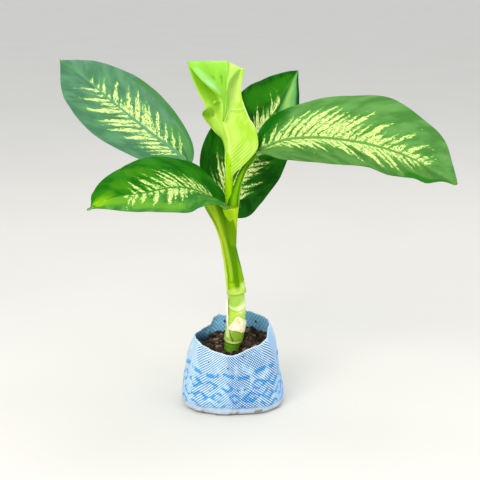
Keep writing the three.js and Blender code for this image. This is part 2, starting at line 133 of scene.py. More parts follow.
class Curve:
    """A smooth line through points, read by its share of the length."""

    def __init__(self, points):
        self.points = [Vector(p) for p in points]
        before = self.points[0] * 2 - self.points[1]
        after = self.points[-1] * 2 - self.points[-2]
        self.reach = [before, *self.points, after]
        spots = [self.spot(i / CURVE_STEPS) for i in range(CURVE_STEPS + 1)]
        self.lengths = [0.0]
        for a, b in zip(spots, spots[1:]):
            self.lengths.append(self.lengths[-1] + (b - a).length)

    def spot(self, t):
        spans = len(self.points) - 1
        span = min(int(t * spans), spans - 1)
        before, start, end, after = self.reach[span:span + 4]
        return cubic(start, end, (end - before) / 2, (after - start) / 2, t * spans - span)

    def time(self, share):
        goal = share * self.lengths[-1]
        i = min(CURVE_STEPS - 1, max(0, bisect.bisect_right(self.lengths, goal) - 1))
        return (i + (goal - self.lengths[i]) / (self.lengths[i + 1] - self.lengths[i])) / CURVE_STEPS

    def at(self, share):
        return self.spot(self.time(share))

    def along(self, share):
        t = self.time(share)
        return (self.spot(min(1, t + 1e-4)) - self.spot(max(0, t - 1e-4))).normalized()


def frames_along(points, upper, steps, roll=0.0):
    """Point, direction, upper side and right-hand side at even steps along a line."""
    curve = Curve(points)
    normal = Vector(upper)
    frames = []
    for i in range(steps + 1):
        share = i / steps
        along = curve.along(share)
        normal = (normal - along * normal.dot(along)).normalized()
        up = Matrix.Rotation(math.radians(roll * share), 3, along) @ normal
        frames.append((curve.at(share), up, along.cross(up)))
    return frames


def upright(*pairs):
    """Points in the upright plane that the cane stands in, from [x, z] pairs."""
    return [(x, STEM_Y, z) for x, z in pairs]


# Mesh helpers

def grid_mesh(columns, rows, place, marks=None):
    """A grid of quads with its corners at place(x, y), x and y from 0 to 1. marks(x, y) gives the
    three numbers that a finish reads as the attribute vein, and a thickness share."""
    bm = bmesh.new()
    bmesh.ops.create_grid(bm, x_segments=columns, y_segments=rows, size=0.5)
    chart = bm.loops.layers.uv.new("chart")
    vein = bm.verts.layers.float_vector.new("vein")
    weights = bm.verts.layers.deform.verify()
    for face in bm.faces:
        face.smooth = True
        for loop in face.loops:
            loop[chart].uv = (loop.vert.co.x + 0.5, loop.vert.co.y + 0.5)
    for vert in bm.verts:
        x = vert.co.x + 0.5
        y = vert.co.y + 0.5
        if marks:
            values, thick = marks(x, y)
            vert[vein] = values
            vert[weights][0] = thick
        vert.co = place(x, y) * MM
    return bm


def welded(bm, closed=False):
    """Joins the corners that lie on each other, and turns the faces of a closed form outwards."""
    bmesh.ops.remove_doubles(bm, verts=bm.verts, dist=1e-6)
    if closed:
        bmesh.ops.recalc_face_normals(bm, faces=bm.faces)
    return bm


def placed(name, data):
    """Makes an object of a mesh, a light or a camera, in the scene."""
    made = bpy.data.objects.new(name, data)
    bpy.context.scene.collection.objects.link(made)
    return made


def as_object(name, bm, *materials):
    """Makes an object of a finished bmesh."""
    mesh = bpy.data.meshes.new(name)
    bm.to_mesh(mesh)
    bm.free()
    for material in materials:
        mesh.materials.append(material)
    return placed(name, mesh)


def as_piece(name, bm, *materials):
    """Makes an object of a finished bmesh, riding on the plant."""
    piece = as_object(name, bm, *materials)
    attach(piece, "root")
    return piece


def thickened(piece, thick, side=-1, by_weight=False, inner=0, rim=0):
    """Gives a sheet its thickness, and other materials for its inner face and its edge."""
    if by_weight:
        piece.vertex_groups.new(name="thick")
    wall = piece.modifiers.new("wall", "SOLIDIFY")
    wall.thickness = thick * MM
    wall.offset = side
    wall.vertex_group = "thick" if by_weight else ""
    wall.material_offset = inner
    wall.material_offset_rim = rim
    return piece


def limb(points, radii, sides, steps, swell=None):
    """A closed round or oval limb. radii(t) gives [across, deep]; swell(t, angle) gives what is
    added to the radius, with the angle counted from the right through the front."""
    frames = frames_along(points, TO_FRONT, steps)

    def place(x, y):
        row = round(y * (steps + 2)) - 1
        share = min(1.0, max(0.0, row / steps))
        at, up, side = frames[min(steps, max(0, row))]
        if row < 0 or row > steps:
            return at
        angle = 2 * math.pi * x
        across, deep = radii(share)
        extra = swell(share, angle) if swell else 0.0
        return at + side * math.cos(angle) * (across + extra) + up * math.sin(angle) * (deep + extra)

    return welded(grid_mesh(sides, steps + 2, place), closed=True)


# Materials. A tint is a colour in 0 to 255 screen values, or a wire that carries a colour.

def shade(tint):
    """A tint as the shader takes it."""
    if isinstance(tint, Wire):
        return tint
    line = []
    for value in tint:
        c = value / 255
        line.append(c / 12.92 if c <= 0.04045 else ((c + 0.055) / 1.055) ** 2.4)
    return (*line, 1.0)


def operation(name, turned=False):
    """A method that adds the node of one sum, with its terms turned round where that matters."""
    def added(self, *others):
        terms = (*others, self) if turned else (self, *others)
        return self.finish.node("ShaderNodeMath", dict(enumerate(terms)), operation=name)
    return added


class Wire:
    """A shader socket that can be used in sums. Each method adds a node that reads it."""

    def __init__(self, finish, socket):
        self.finish = finish
        self.socket = socket

    __add__ = __radd__ = operation("ADD")
    __sub__ = operation("SUBTRACT")
    __rsub__ = operation("SUBTRACT", turned=True)
    __mul__ = __rmul__ = operation("MULTIPLY")
    __truediv__ = operation("DIVIDE")
    __mod__ = operation("FLOORED_MODULO")
    __abs__ = operation("ABSOLUTE")
    sine = operation("SINE")
    whole = operation("FLOOR")
    larger = operation("MAXIMUM")
    smaller = operation("MINIMUM")

    def step(self, low, high):
        """Rises smoothly from 0 at low to 1 at high."""
        values = {0: self, 1: low, 2: high}
        return self.finish.node("ShaderNodeMapRange", values, interpolation_type="SMOOTHSTEP")

    def fade(self, low, high):
        return 1 - self.step(low, high)

    def between(self, a, b):
        """The colour at this share of the way from one tint to the other."""
        values = {0: self, 6: shade(a), 7: shade(b)}
        return self.finish.node("ShaderNodeMix", values, 2, data_type="RGBA")

    def parts(self):
        made = self.finish.node("ShaderNodeSeparateXYZ", {0: self}).socket.node
        return [Wire(self.finish, output) for output in made.outputs]

    def stretch(self, *scale):
        return self.finish.node("ShaderNodeVectorMath", {0: self, 1: scale}, operation="MULTIPLY")

    def noise(self, scale, detail=2.0, roughness=0.5):
        values = {"Vector": self, "Scale": scale, "Detail": detail, "Roughness": roughness}
        return self.finish.node("ShaderNodeTexNoise", values)

    def flakes(self, scale, output="Distance"):
        return self.finish.node("ShaderNodeTexVoronoi", {"Vector": self, "Scale": scale}, output)


def ridges(value, apart):
    """1 on each of a row of lines and 0 midway between them."""
    return abs(value / apart % 1.0 - 0.5) * 2


MARK_CORE = 0.05  # the share of a mark's width that has its full strength


class Finish:
    """A material: a principled shader, the nodes that feed it and the colour laid on so far."""

    def __init__(self, name, roughness=0.5, specular=0.2):
        self.material = bpy.data.materials.new(name)
        self.material.use_nodes = True
        self.tree = self.material.node_tree
        self.shader = self.tree.nodes["Principled BSDF"]
        self.colour = None
        self.shader.inputs["Roughness"].default_value = roughness
        self.shader.inputs["Specular IOR Level"].default_value = specular

    def node(self, kind, values, output=0, **settings):
        made = self.tree.nodes.new(kind)
        for key, value in settings.items():
            setattr(made, key, value)
        for key, value in values.items():
            if isinstance(value, Wire):
                self.tree.links.new(value.socket, made.inputs[key])
            else:
                made.inputs[key].default_value = value
        return Wire(self, made.outputs[output])

    def place(self):
        return self.node("ShaderNodeTexCoord", {}, "Object")

    def chart(self):
        return self.node("ShaderNodeUVMap", {}, uv_map="chart").parts()

    def vein(self):
        return self.node("ShaderNodeAttribute", {}, "Vector", attribute_name="vein").parts()

    def grain(self, x, y, z=0.0, detail=2.0, roughness=0.5):
        """Noise by x, y and z."""
        place = self.node("ShaderNodeCombineXYZ", {0: x, 1: y, 2: z})
        return place.noise(1.0, detail, roughness)

    def mark(self, place, scale, points, wide, taper=0.0):
        """1 near a line through points of the chart, fading out at a distance from it. The taper
        makes that distance shrink towards the ends of the line."""
        x, y = place
        points = [(across * scale[0], up * scale[1]) for across, up in points]
        pieces = max(1, len(points) - 1)
        nearest = None
        for i, ((x0, y0), (x1, y1)) in enumerate(zip(points, points[1:] or points)):
            dx = x1 - x0
            dy = y1 - y0
            long = dx * dx + dy * dy or 1.0
            share = (x * dx + y * dy - (x0 * dx + y0 * dy)) / long
            share = self.node("ShaderNodeClamp", {0: share})
            off_x = x - x0 - share * dx
            off_y = y - y0 - share * dy
            reach = off_x * off_x + off_y * off_y
            if taper:
                from_middle = (share + i) * (2 / pieces) - 1
                reach = reach * (1 + from_middle * from_middle * from_middle * from_middle * taper)
            nearest = reach if nearest is None else nearest.smaller(reach)
        return nearest.fade((wide * MARK_CORE) ** 2, wide ** 2)

    def marks(self, place, scale, marks, taper=0.0):
        """Lays marks on the colour, each as points of the chart, width, strength and tint."""
        for points, wide, strength, tint in marks:
            self.coat(self.mark(place, scale, points, wide, taper) * strength, tint)

    def coat(self, share, tint):
        """Lays a tint on the colour, as thickly as the share says."""
        self.colour = share.between(self.colour, tint)

    def paint(self, height=None, deep=0.0, strength=1.0, **wires):
        """Joins the colour, the bumps and whatever else varies to the shader."""
        wires["Base Color"] = self.colour
        if height:
            values = {"Strength": strength, "Distance": deep * MM, "Height": height}
            wires["Normal"] = self.node("ShaderNodeBump", values)
        for socket, wire in wires.items():
            self.tree.links.new(wire.socket, self.shader.inputs[socket])
        return self.material


# The bag and the soil share one form, so that the soil fills the bag

BAG_RIM = 82
BASE_RADIUS = 50.5
RIM_RADIUS = 42.5
BAG_PROFILE = [
    (BASE_RADIUS, 0), (56.5, 2.5), (58.6, 8), (58.4, 16), (55.8, 33), (51.5, 55), (46.2, 73),
    (RIM_RADIUS, BAG_RIM),
]
RIM_HEIGHTS = [
    (0, 89), (35, 94), (62, 97), (90, 88), (105, 91), (113, 92), (121, 89.5), (128, 80), (136, 78.5),
    (150, 76), (168, 77.5), (182, 80), (210, 79), (225, 75), (240, 71), (270, 66.5), (315, 76), (360, 89),
]
DRAINS = [(60, 34), (150, 30), (237, 59), (265, 53.3), (289, 65)]
DRAIN_RADIUS = 1
BAG_WALL = 0.9


def plan_share(turn, height):
    c, s = heading(turn)
    oval = (abs(c) ** 2.5 + (abs(s) / 0.87) ** 2.5) ** -0.4
    fold = 0.016 * heading(turn * 3 - 40)[0] + 0.014 * heading(turn * 7 + 25)[1]
    return oval + fold * smooth(height, 20, BAG_RIM)


def bag_form(turn, radius, height):
    """A lathed point brought to the bag's form."""
    c, s = heading(turn)
    share = plan_share(turn, height)
    lift = mixed(1, read(RIM_HEIGHTS, turn) / BAG_RIM, min(1, radius / RIM_RADIUS) ** 2)
    x = radius * c * share - 1.3 * smooth(height, 0, 60)
    return Vector((x, radius * s * share, height * lift))


WALL_CURVE = Curve([(r, 0, z) for r, z in BAG_PROFILE])
BOTTOM_ROWS = 14
WALL_ROWS = 84
BAG_ROWS = BOTTOM_ROWS + WALL_ROWS
# Each crease of the bag has its turn, how high it stands and how wide it is in degrees
CREASES = [(333, 1.5, 7), (186, 1.8, 9), (300, 0.8, 9), (246, 0.7, 8), (20, 1.2, 9), (130, 1.4, 8)]


def bag_point(x, y):
    turn = (360 * x) % 360
    row = y * BAG_ROWS
    if row <= BOTTOM_ROWS:
        return bag_form(turn, BASE_RADIUS * row / BOTTOM_ROWS, 0)
    share = (row - BOTTOM_ROWS) / WALL_ROWS
    spot = WALL_CURVE.at(share)
    point = bag_form(turn, spot.x, spot.z)
    rim = spot.z / BAG_RIM
    c, s = heading(turn)
    push = 1.5 * rough(c * 2.2, s * 2.2, spot.z / 26)
    push += 0.7 * rough(c * 6, s * 6, spot.z / 9 + 5)
    push += 0.3 * rough(c * 15, s * 15, spot.z / 4 + 9)
    for at, high, wide in CREASES:
        away = abs((turn - at - 10 * (1 - rim) + 180) % 360 - 180)
        push += high * math.exp(-away / wide) * smooth(rim, 0.15, 0.75)
    hem = smooth(share, 0, 0.05) * (1 - smooth(share, 0.1, 0.15))
    push += hem * (1.1 + 1.1 * rough(c * 5, s * 5, 3))
    point += Vector((c, s, 0)) * (push * smooth(share, 0, 0.06) - 0.5)
    frayed = smooth(rim, 0.93, 1)
    point.z += frayed * (0.7 * rough(c * 28, s * 28) + 0.5 * rough(c * 60, s * 60))
    point.z -= 2.5 * (hill(turn, 196, 5) * smooth(rim, 0.75, 1))
    return point


def punched(bm, turn, height):
    """Cuts a round hole through the wall."""
    lift = read(RIM_HEIGHTS, turn) / BAG_RIM
    share = min(range(100), key=lambda i: abs(WALL_CURVE.at(i / 100).z * lift - height)) / 100
    middle = bag_point(turn / 360, (BOTTOM_ROWS + share * WALL_ROWS) / BAG_ROWS) * MM
    reach = DRAIN_RADIUS * MM
    gone = [f for f in bm.faces if (f.calc_center_median() - middle).length < reach]
    bmesh.ops.delete(bm, geom=gone, context="FACES")
    for vert in bm.verts:
        away = vert.co - middle
        if vert.is_boundary and away.length < reach * 1.6:
            vert.co = middle + away.normalized() * reach


def woven_bag(outside, inside, cut):
    bm = welded(grid_mesh(300, BAG_ROWS, bag_point))
    for turn, height in DRAINS:
        punched(bm, turn, height)
    bag = as_piece("woven_bag", bm, outside, inside, cut)
    return thickened(bag, BAG_WALL, inner=1, rim=2)


# The bag's fabric. Its chart is measured round the bag and up from the middle of its bottom.

BAG_UP = 106
BAG_CHART = (340, BAG_UP)
TAPE = 3.6  # the width of a woven tape as seen from outside
INNER_TAPE = 5
RIM_SPOTS = ((0.282, 0.925), (0.138, 0.895))
PRINT_FOOT = 24
PRINT_ROW = 15
PRINT_CELL = 20


def faded_print(around, high, place):
    """Three rows of faded open diamonds and a broken band, worn through by the weave."""
    level = (high - PRINT_FOOT) / PRINT_ROW
    row = abs(level % 1.0 - 0.5)
    cell = abs((around + level.whole() * 10) / PRINT_CELL % 1.0 - 0.5)
    diamond = abs(row + cell - 0.4).fade(0.1, 0.17)
    rows = high.step(PRINT_FOOT, 25) * high.fade(68, 70)
    band = abs(high - 76 + (around * 0.12).sine() * 2).fade(2.2, 3.2)
    dashes = abs(around / 21 % 1.0 - 0.5).step(0.1, 0.14)
    return (diamond * rows).larger(band * dashes) * place.noise(120, 3, 0.6).step(0.4, 0.52)


def bag_finish(name, inner=False):
    finish = Finish(name)
    across, up, _ = finish.chart()
    place = finish.place()
    x, _, z = place.parts()
    wobble = place.noise(35)
    spot = (across * BAG_CHART[0], up * BAG_UP)
    around = spot[0] + wobble * 3
    high = spot[1] + wobble * 3
    tape = INNER_TAPE if inner else TAPE
    rising = ridges(around - high, tape)
    falling = ridges(around + high, tape)
    ticks = finish.grain((around - high) * 0.9, (around + high) * 2.2, detail=1).step(0.35, 0.6)
    front = across + place.noise(26) * 0.16
    rising_here = front.step(0.66, 0.7) * front.fade(0.9, 1.0)
    falling_here = front.step(0.78, 0.84) * front.fade(0.98, 1.06)
    least = (0.9, 0.7) if inner else (0.5, 0.25)
    rising_line = rising.step(0.4, 0.7) * rising_here.larger(least[0]) * (0.5 + ticks * 0.5)
    falling_line = falling.step(0.45, 0.75) * falling_here.larger(least[1])
    lines = rising_line.larger(falling_line) * place.noise(80, 3).step(0.1, 0.5)
    if inner:
        pale = place.noise(60, 3).between((140, 232, 255), (214, 250, 255))
        finish.colour = (lines * 0.75).between(pale, (0, 124, 240))
        # Painted shade: the inner wall is darkened low down near the soil, most on the left.
        deep = (z + x * 0.25).fade(0.052, 0.068)
        finish.coat(deep * 0.7, (10, 44, 84))
        for middle in RIM_SPOTS:
            finish.coat(finish.mark(spot, BAG_CHART, [middle], 2.4), (28, 22, 18))
    else:
        pale = place.noise(30, 3).between((176, 218, 244), (224, 242, 252))
        finish.colour = lines.between(pale, (0, 84, 148))
        smooth_side = front.step(1.0, 1.04)
        finish.coat(smooth_side * 0.7, (150, 190, 240))
        drift = (place.noise(55) - 0.5) * 10
        motif = faded_print(around + drift, high + drift, place)
        gaps = rising.larger(falling).fade(0.12, 0.36)
        ink = lines.between((0, 160, 232), (0, 92, 168))
        finish.coat(motif * 0.9, (gaps * 0.8).between(ink, (180, 222, 248)))
        frayed = (up + place.noise(260, 3) * 0.05).step(1.004, 1.016)
        finish.coat(frayed * 0.8, (216, 230, 240))
        hem = (z + wobble * 0.005).fade(0.0095, 0.0125)
        finish.coat(hem * 0.85, place.noise(90, 3).between((160, 176, 190), (216, 224, 230)))
        seam = abs(z + wobble * 0.005 - 0.0118).fade(0.0003, 0.0008)
        finish.coat(seam * 0.5, (120, 150, 186))
        # Painted contact shadow: a dark band along the very bottom, where the bag meets the floor.
        finish.coat(z.fade(0.0003, 0.0018), (52, 46, 42))
        low = z.fade(0.001, 0.009)
        dirt = (place.noise(70, 4, 0.6) + low * 0.1).step(0.6, 0.74) * low
        finish.coat(dirt * 0.8, (110, 84, 60))
        stain = finish.mark(spot, BAG_CHART, [(0.83, 24.5 / BAG_UP), (0.845, 25 / BAG_UP)], 3)
        finish.coat(stain * 0.75, (112, 84, 58))
    height = rising * 0.4 + falling * 0.25 + place.noise(300) * 0.3
    return finish.paint(height, 0.5, 0.8)


def cut_finish():
    finish = Finish("cut_edge", roughness=0.7)
    place = finish.place()
    finish.colour = place.noise(400).between((116, 172, 222), (226, 238, 248))
    return finish.paint(place.noise(900, 1), 0.3)


# Soil

SOIL_TOP = 62.32
SOIL_GAP = BAG_WALL + 0.7
SOIL_SLACK = 0.3
SOIL_BASE = 0.08  # where the bottom ends and the side begins, as a share of the profile
SOIL_EDGE = 0.55  # where the side ends and the top begins
CLODS = 760
BAG_RADII = [(height, radius) for radius, height in BAG_PROFILE]


def soil_radius(height):
    return read(BAG_RADII, height, eased=False) - SOIL_GAP - SOIL_SLACK


def soil_profile(y):
    """Radius, height and how loose it is, from the middle of the bottom round to the middle on top."""
    if y < SOIL_BASE:
        return 49 * y / SOIL_BASE, SOIL_GAP, 0
    if y < SOIL_EDGE:
        height = mixed(SOIL_GAP, SOIL_TOP, (y - SOIL_BASE) / (SOIL_EDGE - SOIL_BASE))
        return soil_radius(height), height, 0
    share = (y - SOIL_EDGE) / (1 - SOIL_EDGE)
    height = SOIL_TOP + 2 * smooth(share, 0, 0.14)
    return soil_radius(SOIL_TOP) * (1 - share), height, smooth(share, 0, 0.1)


def soil_point(x, y):
    radius, height, loose = soil_profile(y)
    point = bag_form(360 * x % 360, radius, height)
    lumps = 2.2 * rough(point.x / 9, point.y / 9, 1) + 1.2 * rough(point.x / 3.2, point.y / 3.2, 2)
    point.z += loose * (lumps - 0.6)
    return point


def soil_bed(finish):
    bm = welded(grid_mesh(150, 110, soil_point), closed=True)
    chance = random.Random(7)
    for i in range(CLODS):
        turn = chance.uniform(0, 360)
        reach = math.sqrt(chance.uniform(0.02, 1)) * 43
        size = chance.choice((1.3, 1.8, 2.3, 2.9, 3.5)) if i % 7 else chance.uniform(3.6, 5.6)
        at = bag_form(turn, reach, SOIL_TOP + 2) + Vector((0, 0, chance.uniform(-0.6, 1.2)))
        if (at - Vector((-1.6, STEM_Y, at.z))).length < 8.6:
            continue  # inside the cane
        limit = bag_form(turn, 45.5 - size * 0.6, SOIL_TOP)
        if at.xy.length > limit.xy.length:
            at.xy = limit.xy  # clear of the bag's wall
        turned = Matrix.Rotation(chance.uniform(0, 6.3), 4, "Z")
        tipped = Matrix.Rotation(chance.uniform(-1, 1), 4, "X")
        flat = Matrix.Diagonal((size, size * chance.uniform(0.5, 0.9), size * chance.uniform(0.35, 0.8), 1))
        where = Matrix.Translation(at * MM) @ (turned @ tipped) @ Matrix.Scale(MM, 4) @ flat
        made = bmesh.ops.create_icosphere(bm, subdivisions=1, radius=1, matrix=where)
        for vert in made["verts"]:
            vert.co += Vector([chance.uniform(-0.2, 0.2) * size * MM for _ in range(3)])
    return as_piece("potting_soil", bm, finish)


def soil_finish():
    finish = Finish("potting_soil", roughness=0.92)
    place = finish.place()
    share = place.flakes(230, "Color").parts()[0]
    finish.colour = share.between((18, 12, 9), (104, 84, 66))
    finish.coat(share.step(0.84, 0.93), (160, 132, 104))
    finish.coat(place.noise(90, 3) * 0.5, (44, 33, 24))
    return finish.paint(place.noise(800, 3) + place.flakes(330) * 0.6, 1.0)


# The cane

CANE_FOOT = 18
CANE_HEAD = 230
CANE_AXIS = upright(
    (-3, CANE_FOOT), (-1.8, 58), (2.4, 86), (4.8, 118), (0.8, 152), (-3.2, 184), (-2.2, 208),
    (-0.6, CANE_HEAD),
)
CANE_RADII = [
    (CANE_FOOT, 7.5), (58, 8), (66, 8.6), (74, 9.6), (80, 11), (92, 10.9), (102, 10), (118, 9.9),
    (126, 9.5), (134, 8.6), (165, 6.9), (184, 6), (200, 5.6), (CANE_HEAD, 5.4),
]
NODE_RINGS = ((75.5, 1.5), (119.3, 6.2))  # each ring's height and how far its front hangs down
CANE_CHART = (66, CANE_HEAD - CANE_FOOT)


def green_cane(finish):
    def radii(t):
        r = read(CANE_RADII, mixed(CANE_FOOT, CANE_HEAD, t))
        return r, r

    def swell(t, angle):
        z = mixed(CANE_FOOT, CANE_HEAD, t)
        away = [z + tilt * math.sin(angle) - ring for ring, tilt in NODE_RINGS]
        scars = max(hill(gap, 0, 1.5) for gap in away)
        groove = max(hill(gap, -2.4, 1.1) for gap in away)
        uneven = 0.25 * rough(math.cos(angle) * 1.5, math.sin(angle) * 1.5, z / 12)
        return 0.8 * scars - 0.35 * groove + uneven

    bm = limb(CANE_AXIS, radii, sides=72, steps=240, swell=swell)
    return as_piece("green_cane", bm, finish)


def cane_finish():
    finish = Finish("green_cane", roughness=0.42, specular=0.25)
    place = finish.place()
    x, y, z = place.parts()
    around, share, _ = finish.chart()
    front = (STEM_Y * MM - y) * 95
    foot_level = z * 1000 + front * NODE_RINGS[0][1]
    level = z * 1000 + front * NODE_RINGS[1][1]
    cloud = place.noise(90)
    dome = cloud.between((62, 118, 14), (124, 174, 40))
    low = cloud.between((96, 146, 16), (142, 180, 46))
    # Painted light: between the rings the cane is painted lighter from just left of its front round its
    # back, as the side turned to the light.
    low = around.step(0.27, 0.33).between(low, (166, 202, 66))
    finish.colour = foot_level.step(74, 76).between(dome, low)
    finish.coat(level.step(92, 100), cloud.between((162, 204, 34), (196, 228, 92)))
    finish.coat(level.step(118, 122), cloud.between((140, 190, 34), (182, 216, 96)))
    wide = 2.0 + x.step(0.001, 0.013) * 6.5 + (cloud - 0.5) * 3
    arc = (abs(level - 120.6) / wide).fade(0.1, 1.3)
    finish.coat(arc * (0.45 + x.step(0.001, 0.01) * 0.45), (236, 242, 184))
    foot = abs(foot_level - 76.6 + (cloud - 0.5) * 2).fade(0.1, 1.8)
    finish.coat(foot * 0.75, (206, 216, 140))
    scar = abs(foot_level - 74.2).fade(0.3, 1.0)
    finish.coat(scar * 0.6, (70, 84, 24))
    thin = abs(level - 117.0).fade(0.1, 1.0)
    finish.coat(thin * 0.3, (120, 150, 40))
    spot = (around * CANE_CHART[0], share * CANE_CHART[1])
    finish.marks(spot, CANE_CHART, [
        ([(0.35, 0.336), (0.31, 0.305), (0.262, 0.279)], 1.1, 0.8, (60, 66, 14)),
        ([(0.385, 0.335), (0.38, 0.30)], 3.2, 0.7, (222, 234, 190)),
    ])
    return finish.paint(place.stretch(1, 1, 0.12).noise(420, 3), 0.35)


# What is left of an older leaf: a papery sheath round the cane, torn at its top edge

DRIED_FOOT_Z = 80
DRIED_HEAD_Z = 126
DRIED_AXIS = upright((1.3, DRIED_FOOT_Z), (3.1, 92), (4.5, 110), (4.6, DRIED_HEAD_Z))
# The lower and upper edge of the sheath, as [turn from the front, height] pairs
DRIED_LEFT = -96
DRIED_RIGHT = 90
DRIED_FOOT = [
    (DRIED_LEFT, 101), (-70, 97), (-50, 91.5), (-43, 90.3), (0, 89), (52, 85.3), (DRIED_RIGHT, 86),
]
DRIED_HEAD = [
    (DRIED_LEFT, 122), (-86, 125), (-70, 125.5), (-58, 122), (-53, 106), (-48, 97), (-39, 94),
    (-28, 97.5), (0, 105.5), (10, 106.8), (40, 103), (62, 100.5), (75, 99.5), (DRIED_RIGHT, 96),
]


def papery_rest(finish):
    axis = Curve(DRIED_AXIS)

    def place(x, y):
        turn = mixed(DRIED_LEFT, DRIED_RIGHT, x)
        torn = 0.5 * rough(turn / 6, 4) + 0.4 * rough(turn / 2.2, 8)
        height = mixed(read(DRIED_FOOT, turn), read(DRIED_HEAD, turn) + torn, y)
        curl = 0.8 * y ** 2 + 0.5 * rough(turn / 14, y * 2, 3) * y
        off = 0.5 + 0.45 * smooth(height, 98, 112)
        off += 1.0 * smooth(-turn, 55, 74) * hill(height, 113, 10)
        r = read(CANE_RADII, height) + off + curl + 0.2 * rough(turn / 4, y * 3, 6)
        at = axis.at(min(1, (height - DRIED_FOOT_Z) / (DRIED_HEAD_Z - DRIED_FOOT_Z)))
        c, s = heading(turn)
        return at + Vector((s * r, -c * r, 0))

    bm = grid_mesh(130, 24, place)
    return thickened(as_piece("papery_remnant", bm, finish), 0.6, 0)


def dried_finish():
    finish = Finish("papery_remnant", roughness=0.8, specular=0.15)
    around, share, _ = finish.chart()
    slant = around * 30 - share * 7
    fibres = finish.grain(slant * 0.8, (around + share) * 2)
    blotch = finish.place().noise(130, 3)
    finish.colour = fibres.step(0.3, 0.56).between((228, 204, 150), (252, 248, 212))
    finish.coat((blotch + around * 0.12).step(0.58, 0.72) * 0.6, (218, 222, 130))
    strip = around.fade(0.2, 0.26)
    finish.coat(strip * 0.8, (255, 254, 240))
    level = share + (fibres - 0.5) * 0.1
    finish.coat(level.fade(0.02, 0.09) * 0.7, (150, 106, 62))
    finish.coat(level.step(0.9, 0.98) * 0.5, (240, 236, 180))
    return finish.paint(fibres, 0.6)


# Petioles, with the sheaths at their feet

PETIOLES = {
    "upper_left": {
        "path": [
            *upright((4.6, 131), (2, 150), (-2.4, 174), (-8, 200)),
            (-17, -6, 222), (-31, 1, 246), (-48, 8.9, 269.3),
        ],
        "across": [
            (0, 10.6), (0.1, 10.4), (0.16, 9.6), (0.3, 8.7), (0.4, 8.2), (0.52, 8.4), (0.68, 9.2),
            (0.82, 5.6), (1, 4),
        ],
        "deep": [
            (0, 10.6), (0.1, 10.3), (0.2, 9.4), (0.4, 8.2), (0.52, 7.4), (0.68, 6), (0.82, 4.6), (1, 3.8),
        ],
    },
    "back": {
        "path": [(-3, -4, 174), (-3, 0, 188), (-3.4, 8, 200), (-4, 17.5, 211)],
        "across": [(0, 5), (0.4, 5.4), (1, 4.2)],
        "deep": [(0, 5), (0.4, 4.6), (1, 3.8)],
    },
    "lower_left": {
        "path": [(-4, -10, 221), (-7.8, -13.5, 229.6)],
        "across": [(0, 4.6), (1, 3.6)],
        "deep": [(0, 4.6), (1, 3.4)],
    },
    "right": {
        "path": [*upright((-2, 212), (0.8, 236), (5.8, 254)), (13, -8.5, 272), (25.4, -9, 289.4)],
        "across": [(0, 6.8), (0.3, 7.2), (0.42, 5.6), (0.52, 3.9), (0.75, 3.4), (1, 3.4)],
        "deep": [(0, 6.8), (0.3, 6.8), (0.42, 5.4), (0.52, 3.9), (0.75, 3.4), (1, 3.4)],
    },
}
LOWER_SHEATH = upright((-3.2, 184), (-2.2, 208), (-0.6, 233.5))
LOWER_RADII = [(0, 7.4), (0.7, 7.5), (0.9, 7.8), (1, 8.4)]


def petiole_swell(name):
    """Channels, wings and unevenness of a petiole, added to its radius."""
    def swell(t, angle):
        front = (math.degrees(angle) - 90 + 180) % 360 - 180
        uneven = 0.2 * rough(math.cos(angle) * 2, math.sin(angle) * 2, t * 14)
        if name != "upper_left":
            return uneven
        wings = smooth(t, 0.5, 0.62) * (1 - smooth(t, 0.84, 0.97))
        channel = -2.6 * hill(front, -6, 34) * wings
        ridge = 0.7 * (hill(front, -58, 16) + hill(front, 48, 16)) * wings
        seam = -0.5 * hill(front, -36 + 30 * t, 5) * (1 - smooth(t, 0.45, 0.56)) * smooth(t, 0.03, 0.1)
        lip = 0.5 * hill(t, 0.012, 0.02)
        return channel + ridge + seam + uneven + lip
    return swell


def petiole(name, finish):
    sizes = PETIOLES[name]

    def radii(t):
        return read(sizes["across"], t), read(sizes["deep"], t)

    bm = limb(sizes["path"], radii, sides=72, steps=160, swell=petiole_swell(name))
    return as_piece(f"petiole_{name}", bm, finish)


def open_sheath(name, points, radii, finish):
    """A sheath that is open at its mouth, where younger stalks come out."""
    steps = 60
    frames = frames_along(points, TO_FRONT, steps)

    def place(x, y):
        at, up, side = frames[round(y * steps)]
        angle = -2 * math.pi * x
        r = read(radii, y)
        dip = 1.6 * smooth(y, 0.7, 1) * math.sin(angle)
        return at + side * math.cos(angle) * r + up * math.sin(angle) * r + Vector((0, 0, -dip))

    bm = welded(grid_mesh(72, steps, place))
    return thickened(as_piece(name, bm, finish), 0.8)


STALK_CHART = (52, 175)
WING_MARKS = [
    ([(0.14, 0.03), (0.3, 0.08)], 12, 0.6, (176, 214, 30)),
    ([(0.45, 0.04), (0.44, 0.25), (0.41, 0.45), (0.44, 0.6)], 6, 0.9, (214, 238, 84)),
    ([(0.32, 0.84), (0.27, 0.62), (0.3, 0.47), (0.33, 0.3)], 8, 0.9, (188, 220, 50)),
    ([(0.4, 0.76), (0.38, 0.58), (0.36, 0.44)], 2.6, 0.6, (92, 146, 2)),
    # Painted shade: a dark band down the sheath's right front, on the side away from the light.
    ([(0.09, 0.86), (0.14, 0.6), (0.18, 0.46), (0.21, 0.28), (0.22, 0.04)], 8, 0.85, (74, 128, 0)),
    ([(0.35, 0.46), (0.35, 0.3), (0.36, 0.12)], 2.4, 0.5, (80, 128, 2)),
    ([(0.29, 0.44), (0.29, 0.12)], 3, 0.5, (186, 220, 60)),
    # Painted shade: a dark band along the sheath's right edge.
    ([(0.04, 0.5), (0.02, 0.3), (0.01, 0.14)], 5, 0.8, (66, 116, 0)),
    ([(0.5, 0.022), (0.3, 0.028), (0.12, 0.035), (0.04, 0.06)], 7, 0.6, (206, 230, 110)),
    ([(0.1, 0.05), (0.04, 0.085)], 6, 0.6, (226, 238, 160)),
]
